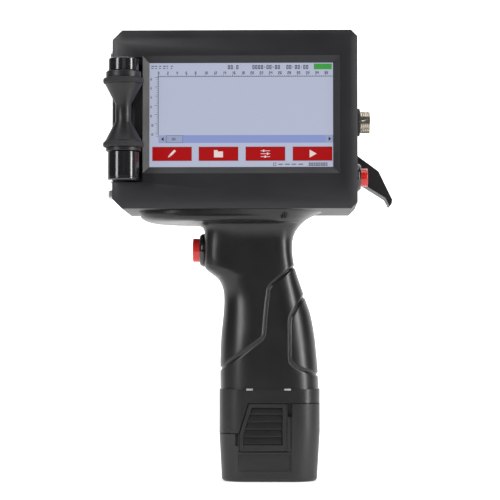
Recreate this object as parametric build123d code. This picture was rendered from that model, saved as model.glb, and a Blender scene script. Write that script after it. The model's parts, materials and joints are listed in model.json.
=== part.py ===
from build123d import *
import math
import os

# Gun-shaped handheld inkjet coder. Millimetres. +Z up, screen towards -Y, print face towards -X.
# The origin is the centre of the battery's flat bottom face.

# Overall sizes of the head
HEAD_LEFT = -80.1
HEAD_RIGHT = 45.4
HEAD_BOTTOM = 139.8
HEAD_TOP = 231.4
HEAD_HALF_DEPTH = 33.0
SEAM_Y = 7.0
HEAD_WALL = 2.5
FRONT_CORNER = 5.0
REAR_CORNER = 3.3
BEVEL_WIDTH = 3.2
BEVEL_DEPTH = 1.6
SEAM_GROOVE = 0.4

# Clearances
SEAT_GAP = 0.05
SLIDE_GAP = 0.3
RUNNING_GAP = 0.05

# Screen
SCREEN_X = -14.1
SCREEN_Z = 187.85
WINDOW_WIDTH = 94.0
WINDOW_HEIGHT = 53.5
WINDOW_SLOPE = 3.4
GASKET_THICK = 0.6
GASKET_WIDTH = 2.4
PANEL_THICK = 1.2
PANEL_MARGIN = 3.5
LCD_THICK = 3.0
LCD_MARGIN_X = 5.0
LCD_MARGIN_Z = 6.5
FRAME_THICK = 1.0
FRAME_HOLE = (60.0, 34.0)

# Main board
BOARD_Y = -19.0
BOARD_THICK = 1.6
BOARD_LEFT = -60.0
BOARD_RIGHT = 20.0
BOARD_BOTTOM = 151.0
BOARD_TOP = 221.0
BOARD_TONGUE_RIGHT = 30.0
BOARD_TONGUE_BOTTOM = 198.0
STANDOFF_R = 2.5
STANDOFF_INSET = 4.0
BOARD_SCREW_R = 1.2

# Measuring roller, on a vertical axis at the front corner
ROLLER_X = -73.7
ROLLER_Y = -38.5
POCKET_BOTTOM = 153.3
POCKET_TOP = 217.2
POCKET_DEPTH = 7.0
POCKET_FLOOR_RIGHT = -69.5
POCKET_LINER = 1.4
TREAD_R = 10.4
TREAD_HEIGHT = 3.0
TREAD_SECTION = 2.6
COLLAR_R = 8.9
CONE_R = 9.5
NECK_R = 4.15
UPPER_TREAD_Z = 202.8
LOWER_TREAD_Z = 170.4
NECK_TOP = 192.5
NECK_BOTTOM = 183.7
HUB_TOP = 209.1
HUB_BOTTOM = 168.4
ROLLER_END_GAP = 0.4
SHAFT_R = 2.0
BEARING_R = 5.0
BEARING_HEIGHT = 3.0
UPPER_BLOCK_R = 7.75
UPPER_BLOCK_TOP = 215.9
LOWER_BLOCK_R = 8.0
LOWER_BLOCK_BOTTOM = 153.7
BLOCK_FOOT_WIDTH = 8.0
BLOCK_EDGE = 0.8
CUP_CAVITY_R = 6.4
CUP_CAVITY_TOP = 161.5
CUP_CAP_THICK = 1.6
DISC_R = 5.4
DISC_THICK = 0.6
DISC_Z = 158.6
SENSOR_HEIGHT = 2.0

# Small guide wheel low on the print face
WHEEL_R = 5.5
WHEEL_Z = 148.2
WHEEL_HEIGHT = 4.6
WHEEL_Y = -13.0
WHEEL_PROUD = 3.6
WHEEL_PIN_R = 0.9
WHEEL_SLOT_GAP = 0.5
WHEEL_EAR = 1.2

# Stainless print face plate
PLATE_THICK = 0.8
PLATE_Y = (-22.0, 29.0)
PLATE_Z = (152.0, 224.0)
PLATE_SCREW_R = 1.25
PLATE_SCREW_HEAD_R = 2.2

# Ink cartridge and its stall
CARTRIDGE_FRONT = -67.7
CARTRIDGE_LENGTH = 64.7
CARTRIDGE_LID = 3.0
CARTRIDGE_Y = (2.1, 28.4)
CARTRIDGE_Z = (149.0, 222.0)
CARTRIDGE_WALL = 1.5
CARTRIDGE_EDGE = 2.0
SNOUT_Y = (8.6, 22.6)
SNOUT_Z = (172.0, 196.0)
SNOUT_TIP = -80.3
NOZZLE_PLATE = 0.2
CONTACT_FILM = 0.1
CONTACT_AREA_X = (-66.0, -48.0)
CONTACT_AREA_Z = (178.0, 204.0)
STALL_WALL = 2.0
STALL_FRONT = -70.0
STALL_ROOF_END = 35.0
CONTACT_BOARD_THICK = 1.6
CONTACT_PIN_R = 0.45
CONTACT_PIN_ROWS = 6
CONTACT_PIN_COLUMNS = 4
CONTACT_PIN_PITCH = 3.2

# Latch lever across the mouth of the stall
LEVER_PIN_X = 41.2
LEVER_PIN_Z = 224.4
LEVER_PIN_R = 1.2
LEVER_EYE_R = 2.1
LEVER_Y = (5.0, 25.0)
LEVER_WALL = 2.6
LEVER_PAD = 1.4
LEVER_RECESS_TOP = 227.0

# Round panel connector on the rear face
SOCKET_Y = -13.0
SOCKET_Z = 185.6
SOCKET_R = 6.0
SOCKET_NECK_R = 5.8
SOCKET_REACH = 7.1
SOCKET_INNER = 36.5
SOCKET_BORE_R = 4.7
SOCKET_BORE_DEPTH = 6.0
SOCKET_GASKET_R = 7.15
SOCKET_GASKET = 1.6
SOCKET_NUT_AF = 14.0
SOCKET_NUT = 2.5
SOCKET_PIN_R = 0.6
SOCKET_PIN_CIRCLE = 2.4
SOCKET_PINS = 4

# Power push button on the rear face
POWER_Y = -13.0
POWER_Z = 156.9
POWER_BEZEL_R = 7.1
POWER_BEZEL = 2.1
POWER_BARREL_R = 5.9
POWER_CAP_R = 4.65
POWER_CAP = 3.6
POWER_INNER = 27.0
POWER_TRAVEL = 2.0

# Trigger push button on the grip
TRIGGER_Z = 119.8
TRIGGER_FACE = -34.0
TRIGGER_BEZEL_R = 8.7
TRIGGER_BEZEL = 2.5
TRIGGER_BARREL_R = 7.4
TRIGGER_CAP_R = 6.2
TRIGGER_CAP = 3.7
TRIGGER_LENGTH = 17.0
TRIGGER_TRAVEL = 2.5

# Shared proportions of both push buttons
BUTTON_STEM_R = 2.0
BUTTON_FLOOR = 2.0
BUTTON_NUT = 2.4
BUTTON_NUT_RIM = 1.9

# USB socket beside the connector
USB_WIDTH = 14.5
USB_HEIGHT = 7.0
USB_LENGTH = 16.0
USB_Z = 208.0
USB_SHELL = 0.4

# Shoulder between the head and the grip
SHOULDER_BOTTOM = 133.6
SHOULDER_LEFT = -68.2
SHOULDER_RIGHT = 22.5
SHOULDER_HALF = 30.0
SHOULDER_ROUND = 24.0
SHOULDER_EDGE = 5.2

# Grip cross sections: height, front edge, back edge, half thickness, corner radius
GRIP_SECTIONS = (
    (47.5, -25.6, 25.4, 22.0, 13.0),
    (60.0, -25.7, 24.9, 22.0, 13.0),
    (72.0, -25.5, 23.9, 21.6, 13.0),
    (82.0, -24.6, 22.4, 20.3, 12.4),
    (91.0, -23.8, 20.0, 18.8, 11.5),
    (99.0, -24.3, 17.0, 18.0, 10.4),
    (105.5, -27.6, 14.8, 17.6, 9.2),
    (111.0, -33.7, 13.1, 17.6, 8.4),
    (119.0, -34.0, 11.9, 17.6, 8.4),
    (127.0, -34.0, 12.5, 17.9, 8.6),
    (131.0, -35.0, 14.5, 19.4, 10.0),
    (136.0, -43.0, 19.5, 24.6, 15.0),
)
GRIP_WALL = 2.4
COLLAR_TOP = 47.5
COLLAR_LEFT = -26.0
COLLAR_RIGHT = 26.1
COLLAR_HALF = 22.5
COLLAR_ROUND = 13.0
GRIP_SCREWS = ((6.0, 128.5), (-10.0, 101.5), (8.0, 97.0))
GRIP_BOSS_R = 3.0
GRIP_SCREW_R = 1.5
GRIP_SCREW_HEAD_R = 2.8
GRIP_SCREW_HEAD = 2.0
GRIP_SCREW_SEAT = 11.0
GRIP_SCREW_TIP = -10.0
MOUNT_SCREWS = ((-56.0, -19.0), (-56.0, 19.0), (8.0, -24.0), (8.0, 24.0))
MOUNT_SCREW_R = 1.5
MOUNT_SCREW_LENGTH = 5.0
WIRE_HOLE_X = (-18.0, 6.0)
WIRE_HOLE_Y = (-16.0, 3.0)

# Battery pack
SPLIT_GAP = 0.4
PACK_HIGH = 40.0
PACK_LOW = 24.6
LATCH_TOP_LEFT = -10.3
LATCH_FOOT_LEFT = -15.2
LATCH_RIGHT = 9.0
LATCH_FOOT = 16.0
PACK_SECTIONS = (
    (0.0, -24.6, 24.5, 21.2, 13.0),
    (26.0, -26.0, 26.1, 22.5, 13.0),
)
PACK_EDGE = 2.0
PACK_WALL = 2.2
PACK_FLOOR = 2.4
LATCH_THICK = 2.0
LATCH_RIM = 1.7
LATCH_RIBS = 5
LATCH_RIB_RELIEF = 0.6
LATCH_RIB_SINK = 0.1
LATCH_RIB_SHARE = 0.72
CELL_R = 9.2
CELL_LENGTH = 65.0
CELL_SPACING = 0.1
TOWER_WALL = 1.3
TOWER_ROUND = 8.0
CONTACT_COUNT = 3
CONTACT_PITCH = 8.0
CONTACT_SIZE = (1.0, 8.0, 4.0)
TERMINAL_HEIGHT = 8.0
TERMINAL_HALF = (13.0, 16.4)
LEAD_R = 1.1
LEAD_X = (-3.0, 0.6)
LEAD_Y = -5.5
LEAD_BEND = 4.0

# Cover screws
COVER_SCREW_X = (-72.0, 32.0)
COVER_SCREW_Z = (144.2, 227.0)
COVER_BOSS_R = 2.15
COVER_SCREW_R = 1.0
COVER_SCREW_HEAD_R = 1.8
COVER_SCREW_HEAD = 1.6
COVER_SCREW_TIP = -6.0

# Places worked out from the sizes above
FRONT_Y = -HEAD_HALF_DEPTH
BACK_Y = HEAD_HALF_DEPTH
WALL_FRONT_Y = FRONT_Y + HEAD_WALL
WALL_BACK_Y = BACK_Y - HEAD_WALL
INNER_LEFT = HEAD_LEFT + HEAD_WALL
INNER_RIGHT = HEAD_RIGHT - HEAD_WALL
INNER_BOTTOM = HEAD_BOTTOM + HEAD_WALL
INNER_TOP = HEAD_TOP - HEAD_WALL
PANEL_Y = WALL_FRONT_Y + GASKET_THICK
LCD_Y = PANEL_Y + PANEL_THICK
FRAME_Y = LCD_Y + LCD_THICK
STANDOFF_Y = FRAME_Y + FRAME_THICK
POCKET_Y = FRONT_Y + POCKET_DEPTH
POCKET_R = TREAD_R + WHEEL_SLOT_GAP
STALL_Z = (CARTRIDGE_Z[0] - SLIDE_GAP, CARTRIDGE_Z[1] + SLIDE_GAP)
STALL_NEAR = CARTRIDGE_Y[0] - CONTACT_FILM - SLIDE_GAP - SLIDE_GAP
LEVER_BACK = LEVER_PIN_X - LEVER_WALL + 0.3
WHEEL_X = HEAD_LEFT + WHEEL_R - WHEEL_PROUD
SHOULDER_TOP = HEAD_BOTTOM
CELL_STEP = 2 * CELL_R + CELL_SPACING
CELL_ROW = CELL_STEP * math.sin(math.radians(60))
TOWER_HALF_X = CELL_STEP + CELL_SPACING + TOWER_WALL
TOWER_HALF_Y = CELL_ROW / 2 + CELL_R + CELL_SPACING + TOWER_WALL
TOWER_BOTTOM = PACK_FLOOR + SEAT_GAP
TOWER_TOP = TOWER_BOTTOM + CELL_LENGTH + 2 * TOWER_WALL + 2.0
TERMINAL_BOTTOM = TOWER_TOP + CONTACT_SIZE[2] + 1.0
TERMINAL_TOP = TERMINAL_BOTTOM + TERMINAL_HEIGHT
FAR = 200.0


# ---------------------------------------------------------------- helpers

def block(x, y, z):
    """Solid box from three (low, high) pairs."""
    centre = Pos((x[0] + x[1]) / 2, (y[0] + y[1]) / 2, (z[0] + z[1]) / 2)
    return centre * Box(x[1] - x[0], y[1] - y[0], z[1] - z[0])


def rod(axis, radius, span, at):
    """Cylinder along "x", "y" or "z" between the two ends of span, placed on the other two axes."""
    middle = (span[0] + span[1]) / 2
    length = span[1] - span[0]
    if axis == "x":
        return Pos(middle, at[0], at[1]) * Rot(0, 90, 0) * Cylinder(radius, length)
    if axis == "y":
        return Pos(at[0], middle, at[1]) * Rot(90, 0, 0) * Cylinder(radius, length)
    return Pos(at[0], at[1], middle) * Cylinder(radius, length)


def tube(axis, outer, inner, span, at):
    """Round ring or sleeve."""
    return rod(axis, outer, span, at) - rod(axis, inner, span, at)


def side_slab(outline, y):
    """Side-view outline, as a tuple of (x, z) points or as a sketch, run from y[0] to y[1]."""
    sketch = Polygon(*outline, align=None) if isinstance(outline, tuple) else outline
    return extrude(Plane.XZ.offset(-y[1]) * sketch, amount=y[1] - y[0], dir=(0, -1, 0))


def turned(profile, at):
    """Solid of revolution about a vertical axis, from (radius, height) points."""
    face = Plane.XZ * Polygon(*profile, align=None)
    return Pos(at[0], at[1], 0) * revolve(face, Axis.Z)


def turned_x(profile, at):
    """Solid of revolution about an axis along X, from (x, radius) points."""
    face = Plane.XY * Polygon(*profile, align=None)
    return Pos(0, at[0], at[1]) * revolve(face, Axis.X)


def mirror_y(shape):
    return mirror(shape, about=Plane.XZ)


def rounded(left, right, half, corner, side=0):
    """Rounded rectangle about the middle plane, or only its part on one side of it."""
    outline = RectangleRounded(right - left, 2 * half, corner)
    if side:
        outline &= Pos(0, side * half) * Rectangle(2 * (right - left), 2 * half)
    return Pos((left + right) / 2, 0) * outline


def stack(sections, inset=0.0, side=0, ruled=False):
    """Body through rounded rectangles; inset draws every one of them inwards."""
    faces = []
    for height, left, right, half, corner in sections:
        outline = rounded(left + inset, right - inset, half - inset, corner - inset, side)
        faces.append(Pos(0, 0, height) * outline)
    return loft(faces, ruled=ruled)


def save(shape, name):
    """Write one node, keeping each separate piece as its own solid."""
    solids = shape.solids() if hasattr(shape, "solids") else [shape]
    export_step(Compound(children=list(solids)), f"parts/{name}.step")


def save_group(shapes, name):
    solids = [solid for shape in shapes for solid in shape.solids()]
    export_step(Compound(children=solids), f"parts/{name}.step")


# ---------------------------------------------------------------- head housing

def head_outline(inset=0.0):
    """Side view of the head: a rectangle with two corner sizes, drawn in by inset."""
    outline = Polygon(
        (HEAD_LEFT + FRONT_CORNER, HEAD_BOTTOM), (HEAD_RIGHT - REAR_CORNER, HEAD_BOTTOM),
        (HEAD_RIGHT, HEAD_BOTTOM + REAR_CORNER), (HEAD_RIGHT, HEAD_TOP - REAR_CORNER),
        (HEAD_RIGHT - REAR_CORNER, HEAD_TOP), (HEAD_LEFT + FRONT_CORNER, HEAD_TOP),
        (HEAD_LEFT, HEAD_TOP - FRONT_CORNER), (HEAD_LEFT, HEAD_BOTTOM + FRONT_CORNER), align=None)
    if inset:
        outline = offset(outline, -inset, kind=Kind.INTERSECTION)
    return outline


def head_cap(y_edge, y_face):
    """Bevelled end of the head between the full outline and its face."""
    wide = Plane.XZ.offset(-y_edge) * head_outline()
    narrow = Plane.XZ.offset(-y_face) * head_outline(BEVEL_WIDTH)
    return loft([wide, narrow], ruled=True)


def cover_screw_places():
    return [(x, z) for x in COVER_SCREW_X for z in COVER_SCREW_Z]


def stall_mouth():
    """Opening in the rear wall that the cartridge passes, with the recess for the lever's eye."""
    opening = block((INNER_RIGHT - 1, HEAD_RIGHT + 1), (CARTRIDGE_Y[0] - 0.6, WALL_BACK_Y), STALL_Z)
    recess_y = (LEVER_Y[0] - SLIDE_GAP, LEVER_Y[1] + SLIDE_GAP)
    recess = block((INNER_RIGHT - 1, HEAD_RIGHT + 1), recess_y, (STALL_Z[1] - 1, LEVER_RECESS_TOP))
    return opening + recess


def front_cover():
    """Front shell with the screen window, the roller pocket and the rear face's holes."""
    bevel_y = FRONT_Y + BEVEL_DEPTH
    shell = head_cap(bevel_y, FRONT_Y) + side_slab(head_outline(), (bevel_y, SEAM_Y))
    hollow = side_slab(head_outline(HEAD_WALL), (WALL_FRONT_Y, SEAM_Y))
    inside = side_slab(head_outline(HEAD_WALL / 2), (WALL_FRONT_Y - 0.1, SEAM_Y))
    shell -= hollow
    liner_x = (HEAD_LEFT, POCKET_FLOOR_RIGHT + STALL_WALL)
    liner_y = (WALL_FRONT_Y - 0.1, POCKET_Y + STALL_WALL)
    liner_z = (POCKET_BOTTOM - STALL_WALL, POCKET_TOP + STALL_WALL)
    liner = block(liner_x, liner_y, liner_z)
    liner += rod("z", POCKET_R + POCKET_LINER, liner_z, (ROLLER_X, ROLLER_Y))
    shell += liner & inside
    pocket = block((HEAD_LEFT - 1, POCKET_FLOOR_RIGHT), (FRONT_Y - 1, POCKET_Y), (POCKET_BOTTOM, POCKET_TOP))
    pocket += rod("z", POCKET_R, (POCKET_BOTTOM, POCKET_TOP), (ROLLER_X, ROLLER_Y))
    shell -= pocket
    window = Pos(SCREEN_X, SCREEN_Z) * Rectangle(WINDOW_WIDTH, WINDOW_HEIGHT)
    wide = WINDOW_SLOPE * 2
    mouth = Pos(SCREEN_X, SCREEN_Z) * Rectangle(WINDOW_WIDTH + wide, WINDOW_HEIGHT + wide)
    slope = loft([Plane.XZ.offset(-FRONT_Y) * mouth, Plane.XZ.offset(-WALL_FRONT_Y) * window], ruled=True)
    shell -= slope
    for x, z in cover_screw_places():
        boss = rod("y", COVER_BOSS_R, (COVER_SCREW_TIP - 2, SEAM_Y), (x, z))
        shell += boss
        shell -= rod("y", COVER_SCREW_R + SEAT_GAP, (COVER_SCREW_TIP, SEAM_Y), (x, z))
    shell -= rod("x", SOCKET_NECK_R + SEAT_GAP, (INNER_RIGHT - 1, HEAD_RIGHT + 1), (SOCKET_Y, SOCKET_Z))
    shell -= rod("x", POWER_BARREL_R + SEAT_GAP, (INNER_RIGHT - 1, HEAD_RIGHT + 1), (POWER_Y, POWER_Z))
    usb_y = BOARD_Y + BOARD_THICK
    usb_z = (USB_Z - USB_WIDTH / 2 - SLIDE_GAP, USB_Z + USB_WIDTH / 2 + SLIDE_GAP)
    usb_slot_y = (usb_y - SLIDE_GAP, usb_y + USB_HEIGHT + SLIDE_GAP)
    shell -= block((INNER_RIGHT - 1, HEAD_RIGHT + 1), usb_slot_y, usb_z)
    shell -= stall_mouth()
    shell -= block(WIRE_HOLE_X, WIRE_HOLE_Y, (HEAD_BOTTOM - 1, INNER_BOTTOM + 1))
    shell += wheel_housing()
    shell -= wheel_slot()
    for z in block_screw_heights(True) + block_screw_heights(False):
        shell -= rod("y", BOARD_SCREW_R + SEAT_GAP, (POCKET_Y - 1, POCKET_Y + STALL_WALL + 1), (ROLLER_X, z))
    for x, y in MOUNT_SCREWS:
        if y < SEAM_Y:
            shell -= rod("z", MOUNT_SCREW_R + SEAT_GAP, (HEAD_BOTTOM - 1, INNER_BOTTOM + 1), (x, y))
    for y, z in plate_screw_places():
        if y < SEAM_Y:
            shell -= rod("x", PLATE_SCREW_R + SEAT_GAP, (HEAD_LEFT - 1, INNER_LEFT + 1), (y, z))
    return shell


def rear_cover():
    """Back shell around the cartridge stall."""
    bevel_y = BACK_Y - BEVEL_DEPTH
    shell = head_cap(bevel_y, BACK_Y) + side_slab(head_outline(), (SEAM_Y + SEAM_GROOVE, bevel_y))
    shell += side_slab(head_outline(SEAM_GROOVE), (SEAM_Y, SEAM_Y + SEAM_GROOVE))
    shell -= side_slab(head_outline(HEAD_WALL), (SEAM_Y, WALL_BACK_Y))
    seat_y = BACK_Y - 1.2 - COVER_SCREW_HEAD
    for x, z in cover_screw_places():
        shell += rod("y", COVER_BOSS_R, (SEAM_Y, WALL_BACK_Y), (x, z))
        shell -= rod("y", COVER_SCREW_R + SEAT_GAP, (SEAM_Y, BACK_Y), (x, z))
        shell -= rod("y", COVER_SCREW_HEAD_R + SEAT_GAP, (seat_y, BACK_Y + 1), (x, z))
    shell -= stall_mouth()
    snout_y = (SNOUT_Y[0] - SLIDE_GAP * 2, SNOUT_Y[1] + SLIDE_GAP * 2)
    snout_z = (SNOUT_Z[0] - SLIDE_GAP * 2, SNOUT_Z[1] + SLIDE_GAP * 2)
    shell -= block((HEAD_LEFT - 1, INNER_LEFT + 1), snout_y, snout_z)
    shell -= rod("y", LEVER_PIN_R + SEAT_GAP, (WALL_BACK_Y - 1, WALL_BACK_Y + 1.2), (LEVER_PIN_X, LEVER_PIN_Z))
    for x, y in MOUNT_SCREWS:
        if y > SEAM_Y:
            shell -= rod("z", MOUNT_SCREW_R + SEAT_GAP, (HEAD_BOTTOM - 1, INNER_BOTTOM + 1), (x, y))
    for y, z in plate_screw_places():
        if y > SEAM_Y:
            shell -= rod("x", PLATE_SCREW_R + SEAT_GAP, (HEAD_LEFT - 1, INNER_LEFT + 1), (y, z))
    return shell


def cover_screws():
    seat_y = BACK_Y - 1.2 - COVER_SCREW_HEAD
    screws = []
    for x, z in cover_screw_places():
        screw = rod("y", COVER_SCREW_R, (COVER_SCREW_TIP + 1, seat_y), (x, z))
        screw += rod("y", COVER_SCREW_HEAD_R, (seat_y, seat_y + COVER_SCREW_HEAD), (x, z))
        screw -= rod("y", COVER_SCREW_R * 0.6, (seat_y + COVER_SCREW_HEAD - 0.8, BACK_Y), (x, z))
        screws.append(screw)
    return screws


# ---------------------------------------------------------------- print face and guide wheel

def plate_screw_places():
    """Corners of the print face plate, as (y, z)."""
    return [(y, z) for y in (PLATE_Y[0] + 4, PLATE_Y[1] - 4) for z in (PLATE_Z[0] + 4, PLATE_Z[1] - 4)]


def print_face_plate():
    plate = block((HEAD_LEFT - PLATE_THICK, HEAD_LEFT), PLATE_Y, PLATE_Z)
    plate = fillet(plate.edges().filter_by(Axis.X), 3.0)
    snout_y = (SNOUT_Y[0] - SLIDE_GAP * 2, SNOUT_Y[1] + SLIDE_GAP * 2)
    snout_z = (SNOUT_Z[0] - SLIDE_GAP * 2, SNOUT_Z[1] + SLIDE_GAP * 2)
    plate -= block((HEAD_LEFT - 2, HEAD_LEFT + 1), snout_y, snout_z)
    for y, z in plate_screw_places():
        plate -= rod("x", PLATE_SCREW_R + SEAT_GAP, (HEAD_LEFT - 2, HEAD_LEFT + 1), (y, z))
    return plate


def plate_screws():
    face = HEAD_LEFT - PLATE_THICK
    screws = []
    for place in plate_screw_places():
        screw = rod("x", PLATE_SCREW_R, (face, INNER_LEFT + 1.5), place)
        screw += rod("x", PLATE_SCREW_HEAD_R, (face - 1.2, face), place)
        screw -= rod("x", PLATE_SCREW_R * 0.6, (face - 2, face - 0.5), place)
        screws.append(screw)
    return screws


def wheel_span(gap=0.0):
    return (WHEEL_Z - WHEEL_HEIGHT / 2 - gap, WHEEL_Z + WHEEL_HEIGHT / 2 + gap)


def wheel_slot():
    """Round pocket for the small wheel and the hole for its pin."""
    span = wheel_span(SLIDE_GAP)
    pocket = rod("z", WHEEL_R + WHEEL_SLOT_GAP, span, (WHEEL_X, WHEEL_Y))
    pin_span = (span[0] - WHEEL_EAR, span[1] + WHEEL_EAR)
    return pocket + rod("z", WHEEL_PIN_R + SEAT_GAP, pin_span, (WHEEL_X, WHEEL_Y))


def wheel_housing():
    """Boss inside the wall that holds the wheel's pin above and below."""
    span = wheel_span(SLIDE_GAP)
    x = (INNER_LEFT - 0.5, WHEEL_X + WHEEL_R + WHEEL_SLOT_GAP + 1.5)
    y = (WHEEL_Y - WHEEL_R - 2, WHEEL_Y + WHEEL_R + 2)
    z = (span[0] - WHEEL_EAR - 1, span[1] + WHEEL_EAR + 1)
    return block(x, y, z) & side_slab(head_outline(HEAD_WALL / 2), y)


def guide_wheel():
    wheel = rod("z", WHEEL_R, wheel_span(), (WHEEL_X, WHEEL_Y))
    wheel = fillet(wheel.edges().filter_by(GeomType.CIRCLE), 1.0)
    return wheel - rod("z", WHEEL_PIN_R + RUNNING_GAP, (HEAD_BOTTOM, HEAD_TOP), (WHEEL_X, WHEEL_Y))


def guide_wheel_pin():
    span = wheel_span(SLIDE_GAP)
    return rod("z", WHEEL_PIN_R, (span[0] - WHEEL_EAR, span[1] + WHEEL_EAR), (WHEEL_X, WHEEL_Y))


# ---------------------------------------------------------------- screen and main board

def panel_edges(margin_x, margin_z):
    """X and Z spans of a panel that overlaps the window by the margins."""
    half_x = WINDOW_WIDTH / 2 + margin_x
    half_z = WINDOW_HEIGHT / 2 + margin_z
    return (SCREEN_X - half_x, SCREEN_X + half_x), (SCREEN_Z - half_z, SCREEN_Z + half_z)


def screen_gasket():
    outer_x, outer_z = panel_edges(GASKET_WIDTH + 0.5, GASKET_WIDTH + 0.5)
    inner_x, inner_z = panel_edges(0.5, 0.5)
    y = (WALL_FRONT_Y, PANEL_Y)
    return block(outer_x, y, outer_z) - block(inner_x, (y[0] - 1, y[1] + 1), inner_z)


def touch_panel():
    x, z = panel_edges(PANEL_MARGIN, LCD_MARGIN_Z)
    return block(x, (PANEL_Y, LCD_Y), z)


def lcd_panel():
    x, z = panel_edges(PANEL_MARGIN, LCD_MARGIN_Z)
    return block((x[0] - 0.5, x[1] + LCD_MARGIN_X), (LCD_Y, FRAME_Y), z)


def lcd_frame():
    """Pressed steel plate behind the display, screwed to the front cover's inside corners."""
    x, z = panel_edges(PANEL_MARGIN, LCD_MARGIN_Z)
    plate = block((x[0] - 0.5, INNER_RIGHT), (FRAME_Y, STANDOFF_Y), (z[0] - 2, z[1] + 2))
    hole_x = (SCREEN_X - FRAME_HOLE[0] / 2, SCREEN_X + FRAME_HOLE[0] / 2)
    hole_z = (SCREEN_Z - FRAME_HOLE[1] / 2, SCREEN_Z + FRAME_HOLE[1] / 2)
    plate -= block(hole_x, (FRAME_Y - 1, STANDOFF_Y + 1), hole_z)
    return plate


def standoff_places():
    """Corners of the main board, as (x, z)."""
    xs = (BOARD_LEFT + STANDOFF_INSET, BOARD_RIGHT - STANDOFF_INSET)
    zs = (BOARD_BOTTOM + STANDOFF_INSET + 1, BOARD_TOP - STANDOFF_INSET)
    return [(x, z) for x in xs for z in zs]


def board_standoffs():
    bore = BOARD_SCREW_R + SEAT_GAP
    return [tube("y", STANDOFF_R, bore, (STANDOFF_Y, BOARD_Y), place) for place in standoff_places()]


def main_board():
    y = (BOARD_Y, BOARD_Y + BOARD_THICK)
    board = block((BOARD_LEFT, BOARD_RIGHT), y, (BOARD_BOTTOM, BOARD_TOP))
    board += block((BOARD_RIGHT - 1, BOARD_TONGUE_RIGHT + 8), y, (BOARD_TONGUE_BOTTOM, BOARD_TOP))
    for place in standoff_places():
        board -= rod("y", BOARD_SCREW_R + SEAT_GAP, (y[0] - 1, y[1] + 1), place)
    return board


def board_screws():
    seat = BOARD_Y + BOARD_THICK
    screws = []
    for place in standoff_places():
        screw = rod("y", BOARD_SCREW_R, (BOARD_Y - 3.5, seat), place)
        screws.append(screw + rod("y", BOARD_SCREW_R * 1.9, (seat, seat + 1.4), place))
    return screws


def board_chips():
    """Processor, memory, driver and power parts on the back of the board."""
    back = BOARD_Y + BOARD_THICK
    chips = (
        ((-26.0, -12.0), 1.4, (180.0, 194.0)), ((-8.0, 4.0), 1.2, (184.0, 192.0)),
        ((-44.0, -34.0), 1.6, (186.0, 202.0)), ((-46.0, -38.0), 4.0, (164.0, 176.0)),
        ((-24.0, -12.0), 4.5, (206.0, 214.0)), ((0.0, 6.0), 2.4, (204.0, 212.0)),
    )
    return [block(x, (back, back + height), z) for x, height, z in chips]


def backup_cell():
    back = BOARD_Y + BOARD_THICK
    return rod("y", 6.25, (back, back + 2.5), (-24.0, 167.0))


def power_header():
    """Plug socket on the board that the battery leads enter from below."""
    back = BOARD_Y + BOARD_THICK
    x = (LEAD_X[0] - 2.5, LEAD_X[1] + 2.5)
    return block(x, (back, back + 5.2), (BOARD_BOTTOM, BOARD_BOTTOM + 8))


def usb_socket():
    """Folded steel shell with its plastic tongue, flush with the rear face."""
    base = BOARD_Y + BOARD_THICK
    x = (HEAD_RIGHT - USB_LENGTH, HEAD_RIGHT - 0.2)
    z = (USB_Z - USB_WIDTH / 2, USB_Z + USB_WIDTH / 2)
    shell = block(x, (base, base + USB_HEIGHT), z)
    inner_y = (base + USB_SHELL, base + USB_HEIGHT - USB_SHELL)
    shell -= block((x[0] + 2, HEAD_RIGHT + 1), inner_y, (z[0] + USB_SHELL, z[1] - USB_SHELL))
    return shell


def usb_tongue():
    base = BOARD_Y + BOARD_THICK
    back = HEAD_RIGHT - USB_LENGTH + 2
    y = (base + USB_HEIGHT * 0.55, base + USB_HEIGHT * 0.55 + 1.8)
    return block((back, HEAD_RIGHT - 2), y, (USB_Z - 5.5, USB_Z + 5.5))


# ---------------------------------------------------------------- measuring roller

def roller_hub():
    """Turned hourglass hub with a seat for each rubber tread and a bore for its shaft."""
    seat = TREAD_R - TREAD_SECTION
    upper = UPPER_TREAD_Z
    lower = LOWER_TREAD_Z + TREAD_HEIGHT
    profile = (
        (0, HUB_TOP), (COLLAR_R, HUB_TOP), (COLLAR_R, upper + TREAD_HEIGHT), (seat, upper + TREAD_HEIGHT),
        (seat, upper), (CONE_R, upper), (NECK_R, NECK_TOP), (NECK_R, NECK_BOTTOM), (CONE_R, lower),
        (seat, lower), (seat, LOWER_TREAD_Z), (COLLAR_R, LOWER_TREAD_Z), (COLLAR_R, HUB_BOTTOM),
        (0, HUB_BOTTOM),
    )
    hub = turned(profile, (ROLLER_X, ROLLER_Y))
    return hub - rod("z", SHAFT_R, (HUB_BOTTOM - 1, HUB_TOP + 1), (ROLLER_X, ROLLER_Y))


def roller_treads():
    rings = []
    for base in (LOWER_TREAD_Z, UPPER_TREAD_Z):
        span = (base, base + TREAD_HEIGHT)
        ring = rod("z", TREAD_R, span, (ROLLER_X, ROLLER_Y))
        ring = fillet(ring.edges().filter_by(GeomType.CIRCLE), 0.9)
        rings.append(ring - rod("z", TREAD_R - TREAD_SECTION, (base - 1, base + 9), (ROLLER_X, ROLLER_Y)))
    return rings


def bearing_spans():
    """Height spans of the lower and the upper bearing."""
    lower_top = HUB_BOTTOM - ROLLER_END_GAP
    upper_base = HUB_TOP + ROLLER_END_GAP
    return (lower_top - BEARING_HEIGHT, lower_top), (upper_base, upper_base + BEARING_HEIGHT)


def roller_shaft():
    top = bearing_spans()[1][1]
    return rod("z", SHAFT_R, (DISC_Z - 1.5, top), (ROLLER_X, ROLLER_Y))


def roller_bearings():
    bore = SHAFT_R + RUNNING_GAP
    return [tube("z", BEARING_R, bore, span, (ROLLER_X, ROLLER_Y)) for span in bearing_spans()]


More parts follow.
